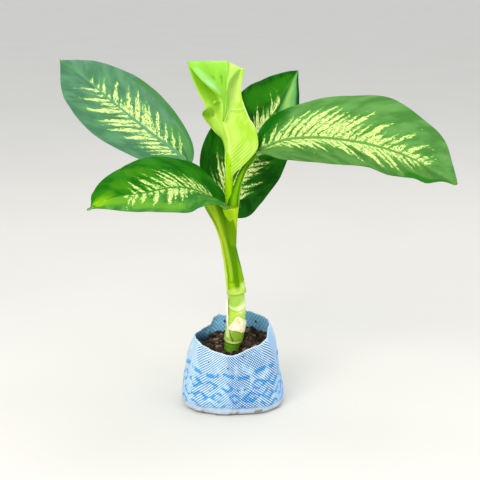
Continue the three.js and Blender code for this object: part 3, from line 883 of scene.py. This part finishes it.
RIGHT_MARKS = [
    ([(0.2, 0.02), (0.24, 0.4), (0.3, 0.95)], 5, 0.6, (140, 200, 10)),
    ([(0.42, 0.36), (0.44, 0.6), (0.44, 0.95)], 4, 0.6, (54, 112, 0)),
    ([(0.05, 0.05), (0.06, 0.95)], 4, 0.5, (176, 220, 60)),
]


def stalk_finish(name, light, dark, marks=(), mouth=False):
    finish = Finish(name, roughness=0.45, specular=0.04)
    place = finish.place()
    around, share, _ = finish.chart()
    lines = finish.grain(around * 46, share * 3)
    blotch = place.stretch(1, 1, 0.4).noise(70)
    finish.colour = (blotch * 0.6 + lines * 0.4).step(0.36, 0.62).between(light, dark)
    fine = finish.grain(around * 90, share * 5).step(0.58, 0.72)
    finish.coat(fine * 0.35, (86, 138, 2))
    spot = (around * STALK_CHART[0] + (lines - 0.5) * 4, share * STALK_CHART[1])
    finish.marks(spot, STALK_CHART, marks, taper=6.0)
    if mouth:
        # Painted shade: below a notch at its front the sheath is painted dark green, where it wraps across
        # the stalks.
        notch = abs(around - 0.735) * 0.75 + 0.6 + (lines - 0.5) * 0.05
        shaded_wing = (share - notch).fade(0.0, 0.03) * (around + share * 0.45).fade(1.09, 1.13)
        finish.coat(shaded_wing * 0.9, lines.between((62, 116, 0), (126, 172, 8)))
        ring = share.step(0.945, 0.955)
        finish.coat(ring * 0.85, lines.between((84, 106, 10), (134, 154, 26)))
    return finish.paint(place.stretch(1, 1, 0.1).noise(500, 3) * 0.5 + lines, 0.5, 0.8)


# The grown blades. The left half of a blade is the one on the left when looking from base to tip.

def outline(t, shape):
    start, end = shape
    widest = start / (start + end)
    oval = (t / widest) ** start * ((1 - t) / (1 - widest)) ** end if 0 < t < 1 else 0
    return max(oval, 0.012)


# Each blade has its midrib, the way its upper side faces at the base, its half width and shape with
# how the margin of each half departs from it, how far each half rises and bends on in degrees, its
# edge waves (how many, how high and where each half's start), its twist and its funnel at the base.
BLADES = {
    "right": {
        "midrib": [
            (26, -9, 290), (56, -13, 304), (91, -20, 308), (124, -27, 306), (158, -35, 300),
            (193, -42, 288), (239, -50, 263),
        ],
        "upper": (-0.34, -0.76, 0.55), "half": 54, "shape": (0.6, 0.6),
        "margin": ([
            (0, 0.86), (0.2, 0.88), (0.35, 0.98), (0.45, 1.01), (0.58, 1.07), (0.73, 1.01), (0.87, 1.06),
            (0.95, 0.78), (1, 0.5),
        ], [
            (0, 1.5), (0.1, 1.5), (0.2, 1.14), (0.42, 1.03), (0.59, 0.84), (0.7, 0.94), (0.8, 0.86),
            (0.87, 0.95), (0.95, 0.42), (1, 0.5),
        ]),
        "rise": (15, 36), "curl": (-14, -10), "wave": (2, 3, 0, 0.4), "twist": -6, "funnel": 34,
    },
    "back": {
        "midrib": [(-4, 19, 213), (0, 44, 250), (31, 73, 298), (54, 104, 328), (78, 138, 366)],
        "upper": (0.64, -0.66, 0.39), "half": 56, "shape": (0.45, 0.77),
        "margin": ([
            (0, 1.03), (0.35, 1.06), (0.8, 1.04), (0.9, 0.95), (0.96, 0.82), (1, 0.5),
        ], [
            (0, 1.03), (0.4, 1.04), (0.5, 1), (0.88, 1.04), (0.95, 0.71), (1, 0.5),
        ]),
        "rise": (10, -3), "curl": (-8, -8), "wave": (1.85, 2.4, 0.2, 0.27), "twist": 0, "funnel": 10,
    },
    "upper_left": {
        "midrib": [
            (-48, 9, 269), (-61, 17, 285), (-91, 28, 306), (-139, 50, 341), (-168, 68, 363),
            (-198.5, 81.5, 382.7),
        ],
        "upper": (0.23, -0.79, 0.57), "half": 47, "shape": (0.78, 0.77),
        "margin": ([
            (0, 1.01), (0.68, 1.01), (0.83, 1.11), (0.9, 1.05), (0.95, 0.85), (1, 0.5),
        ], [
            (0, 0.93), (0.12, 1.02), (0.3, 0.99), (0.5, 1.03), (0.75, 0.98), (0.9, 0.96), (0.95, 0.83),
            (1, 0.5),
        ]),
        "rise": (10, 4), "curl": (-12, -12), "wave": (2.2, 1.8, 0.54, 0.71), "twist": 0, "funnel": 16,
    },
    "lower_left": {
        "midrib": [
            (-7, -13, 229), (-17, -19, 237), (-33, -33, 250), (-58, -58, 261), (-92, -96, 262),
            (-119, -120, 262.5), (-142.5, -140, 254.5),
        ],
        "upper": (0.72, -0.05, 0.69), "half": 46, "shape": (0.46, 0.71),
        "margin": ([
            (0, 1), (0.44, 1.01), (0.54, 1.12), (0.65, 1.01), (0.75, 1.14), (0.85, 1.38), (0.9, 1.2),
            (0.94, 0.7), (0.965, 0.3), (0.98, 0.2), (1, 0.6),
        ], [
            (0, 1), (0.1, 1.06), (0.17, 1.12), (0.27, 1.04), (0.5, 1.02), (0.6, 0.97), (0.8, 0.92),
            (0.9, 0.85), (0.93, 0.82), (0.965, 0.4), (0.98, 0.2), (1, 0.6),
        ]),
        "rise": (26, 15), "curl": (-22, -16), "wave": (1.7, 2.4, 0.78, 0), "twist": 0, "funnel": 20,
    },
}
VEIN_SLANT = 0.85
VEIN_BOW = 0.004
VEIN_APART = 8.5
BLADE_THICK = 3.1  # at the base of the midrib
# How widely each blade's cream streaks merge at the midrib
CREAM_MERGE = {"right": 1.9, "back": 3.2, "upper_left": 1.3, "lower_left": 1.3}


def half_width(blade, hand, t):
    """How wide the left or right half of a blade is at a share of its length."""
    return blade["half"] * outline(t, blade["shape"]) * flow(blade["margin"][hand], t)


def vein_root(length, t, away):
    """Where along the midrib the side vein through a point leaves it."""
    return length * t - VEIN_SLANT * away - VEIN_BOW * away ** 2


def cream_depth(streaks, merge, root, away):
    """How deep inside a cream streak a point is, below zero outside. A streak is its root on the
    midrib, its reach along the side vein and its half width. Near the midrib they merge."""
    root += 2.0 * rough(root / 10, away / 9) + 1.1 * rough(root / 4, away / 5, 3)
    best = -30.0
    for at, reach, wide in streaks:
        along = away / reach
        body = wide * (0.62 + 0.48 * smooth(along, 0.05, 0.4)) * (1 - 0.75 * smooth(along, 0.5, 1.05))
        body += merge * (1 - smooth(away, 0, 5 * merge))
        best = max(best, min(body - abs(root - at), (reach - away) * 0.4, 2.5))
    return best


def across_leaf(y, crowd):
    """From 1 at the right margin to -1 at the left one, with rows that crowd at the midrib."""
    s = 1 - 2 * y
    return math.copysign(abs(s) ** crowd, s)


def leaf_point(frame, s, wide, rise, curl, high, ripple=0.0):
    """A point at a share of a half's width, high above the sheet. The half rises from the midrib
    at one angle and bends on by another."""
    at, up, side = frame
    tilt = rise + curl * abs(s)
    out = wide * (math.sin(tilt) - math.sin(rise)) / curl - high * math.sin(tilt)
    lift = wide * (math.cos(rise) - math.cos(tilt)) / curl + ripple + high * math.cos(tilt)
    return at + side * math.copysign(out, s) + up * lift


def grown_blade(name, upper_finish, under_finish):
    blade = BLADES[name]
    columns, rows = 190, 70
    frames = frames_along(blade["midrib"], blade["upper"], columns, blade["twist"])
    length = Curve(blade["midrib"]).lengths[-1]
    waves, high, *starts = blade["wave"]

    def place(x, y):
        s = across_leaf(y, 1.25)
        hand = 0 if s < 0 else 1
        u = abs(s)
        wide = half_width(blade, hand, x)
        rise = math.radians(blade["rise"][hand] + blade["funnel"] * math.exp(-x / 0.1))
        curl = math.radians(blade["curl"][hand])
        ripple = high * u * u * math.sin(2 * math.pi * (waves * x + starts[hand])) * min(1, wide / 20)
        away = u * wide
        root = vein_root(length, x, away)
        full = smooth(wide, 3, 16)
        furrow = -0.08 * math.cos(2 * math.pi * root / VEIN_APART) * smooth(away, 2, 9) * full
        furrow *= 1 - smooth(u, 0.8, 1)
        swell = 0.5 * rough(root / 16, away / 24, hand * 5 + 2) * smooth(away, 3, 14) * full
        midrib = 0.8 * (1 - 0.75 * x) * hill(away, 0, 1.7) - 0.5 * hill(away, 4.2, 2) * full
        lift = 0.35 + furrow + swell + midrib
        return leaf_point(frames[round(x * columns)], s, wide, rise, curl, lift, ripple)

    def marks(x, y):
        s = across_leaf(y, 1.25)
        hand = 0 if s < 0 else 1
        away = abs(s) * half_width(blade, hand, x)
        root = vein_root(length, x, away)
        cream = cream_depth(CREAM[name][hand], CREAM_MERGE[name], root, away)
        thick = 0.7 + 2.4 * (1 - 0.85 * x) * hill(away, 0, 3)
        return (root, away, cream), min(1, thick / BLADE_THICK)

    bm = grid_mesh(columns, rows, place, marks)
    piece = as_piece(f"blade_{name}", bm, upper_finish, under_finish)
    return thickened(piece, BLADE_THICK, by_weight=True, inner=1)


# The cream streaks of each blade, left half and right half, each with its root on the midrib, its
# reach along the side vein and its half width
CREAM = {
    "right": ([
        (7, 10, 1.6), (15, 17, 1.8), (24, 22, 2), (31, 31, 2.2), (39, 33, 2.6), (48, 37, 4),
        (57, 35, 3.2), (65, 30, 3.4), (73, 27, 3), (80, 30, 3.6), (88, 37, 3.4), (96, 20, 3),
        (104, 22, 2.2), (114, 29, 4), (124, 16, 4), (133, 17, 3.4), (142, 27, 2.4), (152, 12, 3),
        (163, 20, 3), (172, 10, 2.4), (180, 15, 1.8), (187, 9, 1.6),
    ], [
        (4, 9, 2.4), (10, 15, 3), (17, 17, 2.8), (24, 23, 3.2), (33, 28, 3), (41, 22, 2.8), (48, 27, 3.2),
        (56, 31, 2.8), (65, 15, 3.4), (74, 20, 3), (82, 31, 3.8), (89, 36, 2.4), (97, 14, 3),
        (104, 24, 3), (112, 36, 4.6), (120, 20, 3), (127, 32, 2.6), (135, 34, 3), (143, 14, 3),
        (150, 18, 3), (158, 23, 3), (168, 14, 2.6), (177, 9, 2),
    ]),
    "back": ([
        (6, 34, 2), (14, 24, 2), (22, 35, 2.8), (30, 28, 2.6), (37, 24, 2.6), (44, 18, 2.2), (52, 22, 2),
        (62, 20, 2), (72, 22, 2), (82, 20, 2), (90, 18, 2), (98, 21, 1.4), (105, 25, 3.2), (113, 12, 1.8),
        (119, 15, 1.8), (129, 9, 1.4), (141, 17, 1.6), (150, 7, 1.4), (157, 8, 1.4),
    ], [
        (3, 12, 1.4), (14, 31, 3), (22, 24, 3.2), (28, 38, 2.4), (34, 16, 2.4), (40, 22, 2.8),
        (47, 28, 2.6), (54, 30, 2.8), (62, 32, 2.2), (70, 18, 2), (78, 20, 2), (86, 18, 2), (95, 18, 2),
        (104, 16, 2), (113, 14, 2), (122, 14, 1.8), (132, 12, 1.6), (142, 10, 1.6),
    ]),
    "upper_left": ([
        (21, 21, 1.6), (27, 22, 1.8), (34, 24, 2.8), (42, 19, 2.6), (51, 27, 3), (58, 14, 2),
        (65, 31, 3.2), (75, 29, 2.2), (82, 31, 3.4), (92, 12, 2.4), (101, 29, 3.8), (108, 10, 1.6),
        (115, 12, 2.4), (122, 24, 3), (131, 8, 1.6), (142, 16, 2.2),
    ], [
        (18, 18, 1.6), (28, 18, 2.2), (38, 20, 2.2), (45, 8, 1.6), (50, 28, 2.4), (57, 10, 2.4),
        (63, 24, 3), (68, 26, 2.2), (73, 20, 2), (79, 31, 1.8), (82, 22, 3.2), (90, 12, 2.4),
        (95, 26, 2.6), (101, 8, 2), (106, 11, 1.5), (115, 21, 2.8), (125, 7, 1.6), (135, 13, 2.4),
        (144, 6, 1.4), (153, 6, 1.4),
    ]),
    "lower_left": ([
        (24, 8, 1.6), (33, 16, 2.2), (41, 17, 2.4), (48, 14, 2.2), (55, 19, 3), (64, 25, 2.8),
        (70, 31, 3), (79, 25, 3.6), (87, 29, 4.2), (98, 10, 2), (107, 29, 3.4), (115, 8, 1.6),
        (124, 21, 3.4), (134, 26, 2), (140, 28, 1.4), (147, 7, 2),
    ], [
        (20, 10, 1.8), (27, 14, 2), (33, 17, 2), (40, 20, 2.2), (47, 16, 2.6), (56, 24, 2.8),
        (66, 25, 2.2), (74, 20, 3), (80, 14, 2), (87, 23, 2.6), (95, 8, 2), (102, 21, 3), (112, 9, 2),
        (123, 14, 3), (134, 7, 1.6),
    ]),
}
BLADE_CHART = (200, 90)
CREAM_TINTS = ((230, 246, 160), (208, 234, 122))


def blade_finish(name, greens, rib_green, marks, seed, specular, dots=(), slim=1.9, cream=CREAM_TINTS):
    """Greens are the deep and fresh green of the right half and of the left half."""
    finish = Finish(name, roughness=0.38, specular=specular)
    root, away, inside = finish.vein()
    share, across, _ = finish.chart()
    left = across.step(0.499, 0.501)
    side = left * 9 + seed
    root = root + (finish.grain(root * 0.15, away * 0.13, side + 40) - 0.5) * 9

    def grain(along, out, shift=0, detail=2.0, roughness=0.5):
        return finish.grain(root * along, away * out, side + shift, detail, roughness)

    strands = grain(1.1, 0.12)
    ragged = grain(0.55, 0.42, 6, 3, 0.6)
    fine = grain(1.5, 0.75, 9)
    cloudy = grain(0.05, 0.06)
    edge = inside + (strands - 0.5) * 8 + (ragged - 0.5) * 6
    islands = grain(0.7, 0.45, 20).step(0.565, 0.6) * inside.fade(2.0, 3.4)
    slits = grain(0.95, 0.22, 27).step(0.57, 0.6) * away.fade(8, 26)
    specks = grain(0.8, 0.5, 12, 1).step(0.74, 0.78) * inside.step(-8, -2)
    mask = (edge.step(0.0, 0.45) * (1 - islands) * (1 - slits)).larger(specks)
    spot = (share * BLADE_CHART[0] + (ragged - 0.5) * 6, across * BLADE_CHART[1] + (ragged - 0.5) * 4)
    for points, wide in dots:
        mask = mask * (1 - finish.mark(spot, BLADE_CHART, points, wide))
    cloud = cloudy.step(0.34, 0.66)
    finish.colour = left.between(cloud.between(*greens[0]), cloud.between(*greens[1]))
    finish.marks(spot, BLADE_CHART, marks)
    furrow = ridges(root, VEIN_APART).step(0.8, 1.0)
    finish.coat(furrow * 0.03, (140, 200, 120))
    finish.coat(strands.step(0.5, 0.8) * 0.1, (20, 80, 10))
    halo = edge.step(-2.6, -0.4)
    finish.coat(halo * 0.3, (74, 160, 36))
    finish.coat(mask, fine.step(0.4, 0.62).between(*cream))
    rib = (away + share * slim).fade(2.0, 3.0) * (1 - share.step(0.7, 0.95) * 0.7)
    finish.coat(rib, fine.between(*rib_green))
    height = strands * 0.1 - furrow * 0.16 + fine * 0.1
    return finish.paint(height, 0.5, 0.8, Roughness=0.4 + cloudy * 0.12)


def underside_finish():
    finish = Finish("blade_underside", roughness=0.55, specular=0.35)
    root, away, inside = finish.vein()
    furrow = ridges(root, VEIN_APART).step(0.8, 1.0)
    fine = finish.grain(root * 0.9, away * 0.2, detail=3)
    finish.colour = fine.between((84, 148, 70), (120, 176, 92))
    finish.coat((inside + (fine - 0.5) * 8).step(-1, 1.5) * 0.75, (206, 224, 140))
    finish.coat(furrow * 0.5, (150, 196, 112))
    finish.coat(away.fade(2.4, 3.4), (140, 190, 96))
    return finish.paint(fine * 0.3 + furrow * 0.6, 0.6)


# The new leaf, half unrolled. Its midrib climbs, bends over to the front and hangs down.

NEW_MIDRIB = [
    (-3.6, -8.4, 262), (-3.6, -9, 282), (-4, -9, 304), (-8, -8, 321), (-10, -7, 338), (-10.2, -6, 352),
    (-9.3, -5.5, 372), (-8.3, -9, 386), (-7.6, -15, 389.5), (-7, -22, 383), (-6.8, -23, 364),
    (-7.4, -17, 345), (-9.8, -12.5, 325),
]
NEW_LEFT = {
    "wide": [
        (0, 4.4), (0.1, 5), (0.145, 9), (0.19, 15), (0.24, 19), (0.29, 20.5), (0.33, 22), (0.362, 23),
        (0.395, 19.5), (0.43, 24.5), (0.48, 30.5), (0.61, 39), (0.68, 39.5), (0.72, 34), (0.765, 26),
        (0.8, 18.5), (0.845, 8.5), (0.875, 4), (0.91, 2.4), (1, 0.8),
    ],
    "rise": [(0, 60), (0.15, -30), (0.3, -24), (0.4, 16), (0.55, 10), (0.66, 5), (0.8, 3), (1, 6)],
    "curl": [(0, 30), (0.15, -60), (0.4, 10), (0.7, 6), (1, 5)],
}
NEW_RIGHT = {
    "wide": [
        (0, 5), (0.04, 10), (0.08, 18), (0.12, 25), (0.165, 32), (0.2, 33), (0.25, 31.5), (0.34, 27),
        (0.405, 24), (0.48, 21.5), (0.58, 22.5), (0.66, 23), (0.7, 20.5), (0.735, 13.5), (0.775, 6),
        (0.83, 3.6), (0.92, 4.5), (1, 0.8),
    ],
    "rise": [(0, 55), (0.1, 16), (0.3, 8), (0.5, 14), (0.6, 8), (0.72, 7), (0.82, 10), (1, 10)],
    "curl": [(0, 20), (0.3, 12), (0.5, 20), (0.62, 20), (0.72, 20), (0.82, 8), (1, 5)],
}
NEW_VEINS = 4.2
NEW_THICK = 2.25


def new_leaf(finish):
    columns, rows = 230, 76
    frames = frames_along(NEW_MIDRIB, TO_FRONT, columns)
    length = Curve(NEW_MIDRIB).lengths[-1]

    def place(x, y):
        s = across_leaf(y, 1.2)
        half = NEW_LEFT if s < 0 else NEW_RIGHT
        wide = flow(half["wide"], x)
        rise = math.radians(flow(half["rise"], x))
        curl = math.radians(flow(half["curl"], x)) or 1e-6
        away = wide * abs(s)
        root = vein_root(length, x, away)
        full = smooth(wide, 3, 14)
        ribbed = 0.04 + 0.05 * (1 - smooth(x, 0.2, 0.3))
        furrow = -ribbed * math.cos(2 * math.pi * root / NEW_VEINS) * smooth(away, 2, 7) * full
        swell = 0.5 * rough(root / 13, away / 14, 4 if s < 0 else 8) * smooth(away, 3, 12) * full
        midrib = 0.6 * (1 - 0.6 * x) * hill(away, 0, 1.6)
        lift = 0.3 + furrow + swell + midrib
        return leaf_point(frames[round(x * columns)], s, wide, rise, curl, lift)

    def marks(x, y):
        s = across_leaf(y, 1.2)
        away = abs(s) * flow((NEW_LEFT if s < 0 else NEW_RIGHT)["wide"], x)
        thick = 0.65 + 1.6 * (1 - 0.8 * x) * hill(away, 0, 3)
        return (vein_root(length, x, away), away, s), min(1, thick / NEW_THICK)

    piece = as_piece("new_leaf_blade", grid_mesh(columns, rows, place, marks), finish)
    return thickened(piece, NEW_THICK, by_weight=True)


def new_petiole(finish):
    def radii(t):
        r = read([(0, 4.2), (0.2, 4.5), (0.45, 4.5), (0.75, 3.4), (1, 1.6)], t)
        return r, r

    path = [(-3.2, -7.8, 231.2), (-3.8, -8.4, 246), (-3.6, -8.2, 262), (-3.6, -7.6, 280), (-3.8, -7, 296)]
    return as_piece("new_leaf_petiole", limb(path, radii, sides=40, steps=80), finish)


NEW_CHART = (200, 80)
NEW_MARKS = [
    # Painted shade: the rear's left half, rolled inwards, is painted a deeper green.
    ([(0.4, 0.72), (0.5, 0.85), (0.62, 0.92)], 20, 0.9, (126, 190, 2)),
    ([(0.38, 1), (0.5, 1), (0.62, 1)], 3, 0.7, (184, 232, 84)),
    # Painted shadow: a dark patch on the low bulge beneath the flap.
    ([(0.36, 0.78), (0.368, 0.98)], 8, 0.85, (104, 160, 2)),
    ([(0.32, 0.82), (0.24, 0.72)], 11, 0.6, (178, 226, 74)),
    # The next six marks paint light and shade on the creases: the pale lines are painted highlights, the
    # dark strokes painted shade.
    ([(0.411, 0.78), (0.421, 0.7)], 1.4, 0.5, (224, 248, 140)),
    ([(0.432, 0.6), (0.42, 0.52)], 1.4, 0.4, (224, 248, 140)),
    ([(0.402, 0.78), (0.412, 0.6)], 2.4, 0.5, (96, 150, 0)),
    ([(0.367, 0.6), (0.38, 0.53)], 1.5, 0.4, (224, 248, 140)),
    ([(0.374, 0.3), (0.37, 0.16), (0.377, 0.02)], 1.4, 0.35, (238, 252, 170)),
    ([(0.364, 0.3), (0.358, 0.16), (0.364, 0.04)], 2.2, 0.5, (150, 200, 20)),
    # Painted light: two bright patches on the climbing right half and the right lobe, lightening where the
    # flap shades them.
    ([(0.36, 0.42), (0.46, 0.32), (0.58, 0.2)], 14, 0.9, (232, 255, 140)),
    ([(0.44, 0.1), (0.52, 0.12), (0.6, 0.2), (0.69, 0.3)], 12, 0.8, (214, 252, 120)),
    ([(0.24, 0), (0.42, 0)], 1.5, 0.8, (236, 250, 190)),
    # Painted sheen: a pale bluish streak along the flap's left margin, with a brighter core.
    ([(0.72, 0.94), (0.763, 0.92), (0.789, 0.86), (0.828, 0.82)], 9, 0.5, (160, 226, 146)),
    ([(0.77, 0.93), (0.805, 0.86)], 4, 0.4, (196, 240, 206)),
    ([(0.745, 0.78), (0.757, 0.75)], 3, 0.45, (76, 148, 6)),
    ([(0.745, 0.63), (0.757, 0.61)], 2.4, 0.45, (76, 148, 6)),
    # Painted shade in the flap's midrib groove.
    ([(0.74, 0.6), (0.79, 0.63)], 2.4, 0.4, (76, 144, 2)),
    # Painted light: the right lobe is painted brighter where the flap shades it, and the flap's midrib
    # ridge gets a painted highlight that widens towards its tip.
    ([(0.8, 0.3), (0.7, 0.2), (0.62, 0.1)], 12, 0.8, (200, 246, 110)),
    ([(0.68, 0.47), (0.82, 0.49)], 2.2, 0.7, (200, 246, 112)),
    ([(0.82, 0.48), (0.98, 0.4)], 5, 0.9, (226, 252, 134)),
]


def new_leaf_finish():
    finish = Finish("new_leaf", roughness=0.42, specular=0.3)
    root, away, hand = finish.vein()
    share, across, _ = finish.chart()
    line = ridges(root, NEW_VEINS)
    fine = finish.grain(root * 0.9, away * 0.12, detail=3)
    cloudy = finish.grain(root * 0.06, away * 0.06, hand * 3)
    finish.colour = cloudy.step(0.35, 0.65).between((170, 218, 46), (194, 236, 92))
    flap = share.step(0.64, 0.68)
    finish.coat(flap, cloudy.between((118, 188, 18), (150, 214, 60)))
    spot = (share * NEW_CHART[0] + (fine - 0.5) * 3, across * NEW_CHART[1])
    finish.marks(spot, NEW_CHART, NEW_MARKS, taper=2.0)
    fan = share.fade(0.16, 0.22) * across.fade(0.42, 0.5)
    veins = line.step(0.3, 0.9)
    finish.coat(fan * (1 - veins) * 0.35, (146, 196, 24))
    finish.coat(fan * veins * 0.3, (226, 246, 140))
    finish.coat(line.step(0.7, 1.0) * 0.08, (226, 248, 150))
    finish.coat(fine.step(0.55, 0.75) * 0.2, (140, 192, 20))
    rib = (away + share).fade(1.4, 2.6)
    finish.coat(rib * (1 - flap) * 0.7, (214, 244, 110))
    height = fine * 0.25 + line.step(0.72, 1.0) * fan * 0.5
    return finish.paint(height, 0.5, 0.8)


# Building

bag = woven_bag(bag_finish("woven_outside"), bag_finish("woven_inside", inner=True), cut_finish())
soil = soil_bed(soil_finish())
cane = green_cane(cane_finish())
dried = papery_rest(dried_finish())
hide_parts("grow_bag")
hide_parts("soil")
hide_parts("cane")
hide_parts("dried_sheath")

stalk_green = stalk_finish("petiole", (178, 226, 14), (146, 202, 2))
mouth_green = stalk_finish("sheath_mouth", (190, 224, 40), (156, 202, 14), mouth=True)
STALK_GREENS = {
    "upper_left": stalk_finish("sheath", (142, 192, 12), (112, 166, 2), WING_MARKS),
    "right": stalk_finish("petiole_right", (88, 154, 0), (56, 120, 0), RIGHT_MARKS),
}
for name in PETIOLES:
    stalk = petiole(name, STALK_GREENS.get(name, stalk_green))
    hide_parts(f"petiole_{name}")
lower_sheath = open_sheath("sheath_lower_left", LOWER_SHEATH, LOWER_RADII, mouth_green)

# How each blade is painted, with its marks and its dark dots in the cream
LEAF_PAINT = {
    "right": {
        # These greens hold painted sheen: a bluish cast, lighter on the left half, which faces the sky.
        "greens": (((62, 114, 42), (88, 140, 62)), ((72, 127, 54), (98, 153, 76))),
        "rib_green": ((96, 142, 60), (114, 164, 78)),
        "marks": [
            ([(0, 0.66), (0.05, 0.8), (0.13, 0.97)], 17, 1.0, (10, 96, 0)),
            ([(0.1, 0.8), (0.16, 0.86)], 6, 0.5, (40, 110, 16)),
            ([(0.78, 0.04), (0.95, 0.06)], 8, 0.9, (24, 112, 0)),
        ],
        "dots": [([(0.592, 0.279)], 2.6)],
        "seed": 1, "specular": 0.05, "slim": 0.8,
    },
    "back": {
        "greens": (((8, 68, 2), (26, 96, 8)), ((8, 70, 2), (28, 102, 8))),
        "rib_green": ((24, 96, 14), (60, 134, 36)),
        "marks": [
            # Painted highlight: a pale bluish sheen over the right half towards the tip.
            ([(0.66, 0.2), (0.84, 0.3), (0.98, 0.42)], 21, 0.9, (120, 194, 108)),
            ([(0.74, 0.3), (0.84, 0.36)], 8, 0.6, (166, 210, 84)),
            ([(0.88, 0.36), (0.93, 0.42)], 5, 0.6, (166, 210, 84)),
            ([(0.62, 0.62), (0.92, 0.58)], 8, 0.6, (70, 150, 36)),
            ([(0.7, 0.78), (0.86, 0.7)], 9, 0.5, (62, 144, 30)),
            ([(0.6, 0.85), (0.9, 0.75)], 14, 0.8, (44, 130, 8)),
        ],
        "dots": [([(0.31, 0.2)], 2.4), ([(0.2, 0.3)], 2.2), ([(0.36, 0.32)], 2)],
        "seed": 31, "specular": 0.03, "cream": ((246, 255, 176), (226, 248, 136)),
    },
    "upper_left": {
        # The blue in these greens is painted sheen, a sky reflection laid over the blade's own green.
        "greens": (((58, 116, 76), (80, 138, 92)), ((52, 110, 70), (76, 134, 88))),
        "rib_green": ((74, 140, 88), (92, 156, 100)),
        "marks": [
            ([(0.06, 0.14), (0.22, 0.2)], 12, 0.6, (70, 138, 40)),
            ([(0.02, 0.32), (0.16, 0.3)], 6, 0.8, (34, 100, 20)),
            ([(0.08, 0.02), (0.6, 0.02)], 6, 0.75, (40, 118, 12)),
            ([(0.07, 0.43), (0.2, 0.35)], 4.5, 0.75, (20, 100, 4)),
            ([(0.9, 0.5), (1, 0.5)], 9, 0.5, (50, 130, 50)),
        ],
        "seed": 61, "specular": 0.35,
    },
    "lower_left": {
        "greens": (((16, 96, 0), (44, 124, 18)), ((50, 118, 42), (86, 149, 52))),
        "rib_green": ((44, 118, 20), (80, 150, 44)),
        "marks": [
            ([(1, 0.5)], 36, 0.9, (146, 200, 4)), ([(0.86, 0.62), (0.72, 0.72)], 17, 0.6, (116, 180, 14)),
            ([(0.86, 0.36)], 13, 0.3, (116, 184, 16)),
            ([(0.72, 0.3), (0.78, 0.2)], 10, 0.25, (104, 170, 16)),
            ([(0.55, 0.9), (0.8, 0.88)], 7, 0.6, (110, 172, 44)),
            ([(0.5, 0.2), (0.66, 0.1)], 8, 0.4, (84, 150, 14)),
            ([(0, 0.3), (0.14, 0.2)], 9, 0.6, (14, 90, 2)),
        ],
        "seed": 91, "specular": 0.02,
    },
}
underside = underside_finish()
for name, looks in LEAF_PAINT.items():
    blade = grown_blade(name, blade_finish(f"blade_{name}", **looks), underside)
    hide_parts(f"blade_{name}")

leaf = new_leaf(new_leaf_finish())
stalk = new_petiole(stalk_green)
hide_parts("new_leaf")


# The floor, the lights and the camera

def floor():
    bm = bmesh.new()
    bmesh.ops.create_grid(bm, x_segments=2, y_segments=2, size=40)
    finish = Finish("floor", roughness=0.6)
    finish.colour = finish.place().noise(3).between((228, 224, 216), (234, 231, 224))
    plane = as_object("floor", bm, finish.paint())


def aimed(holder, place, aim):
    holder.location = place
    holder.rotation_euler = (Vector(aim) - Vector(place)).to_track_quat("-Z", "Y").to_euler()


def soft_light(name, place, aim, size, power, colour):
    lamp = bpy.data.lights.new(name, "AREA")
    lamp.size = size
    lamp.energy = power
    lamp.color = colour
    aimed(placed(name, lamp), place, aim)


floor()
soft_light("key", (-0.9, -1.6, 1.45), (0, 0, 0.2), 1.2, 29, (1, 0.97, 0.92))
soft_light("fill", (1.6, -1.2, 0.9), (0, 0, 0.2), 1.4, 10, (0.94, 0.97, 1))
soft_light("top", (0.3, 0.5, 2.0), (0, 0, 0.25), 1.0, 8, (1, 1, 1))
world = bpy.data.worlds.new("studio")
world.use_nodes = True
sky = world.node_tree.nodes["Background"].inputs
sky["Color"].default_value = (0.93, 0.96, 1, 1)
sky["Strength"].default_value = 0.8
bpy.context.scene.world = world
bpy.context.scene.view_settings.view_transform = "Standard"

camera = placed("camera", bpy.data.cameras.new("camera"))
aimed(camera, (0.0084, -1.25, 0.495), (0.0084, 0, 0.19))
camera.data.lens = 86.16
camera.data.sensor_width = 36
camera.data.clip_end = 200
bpy.context.scene.camera = camera
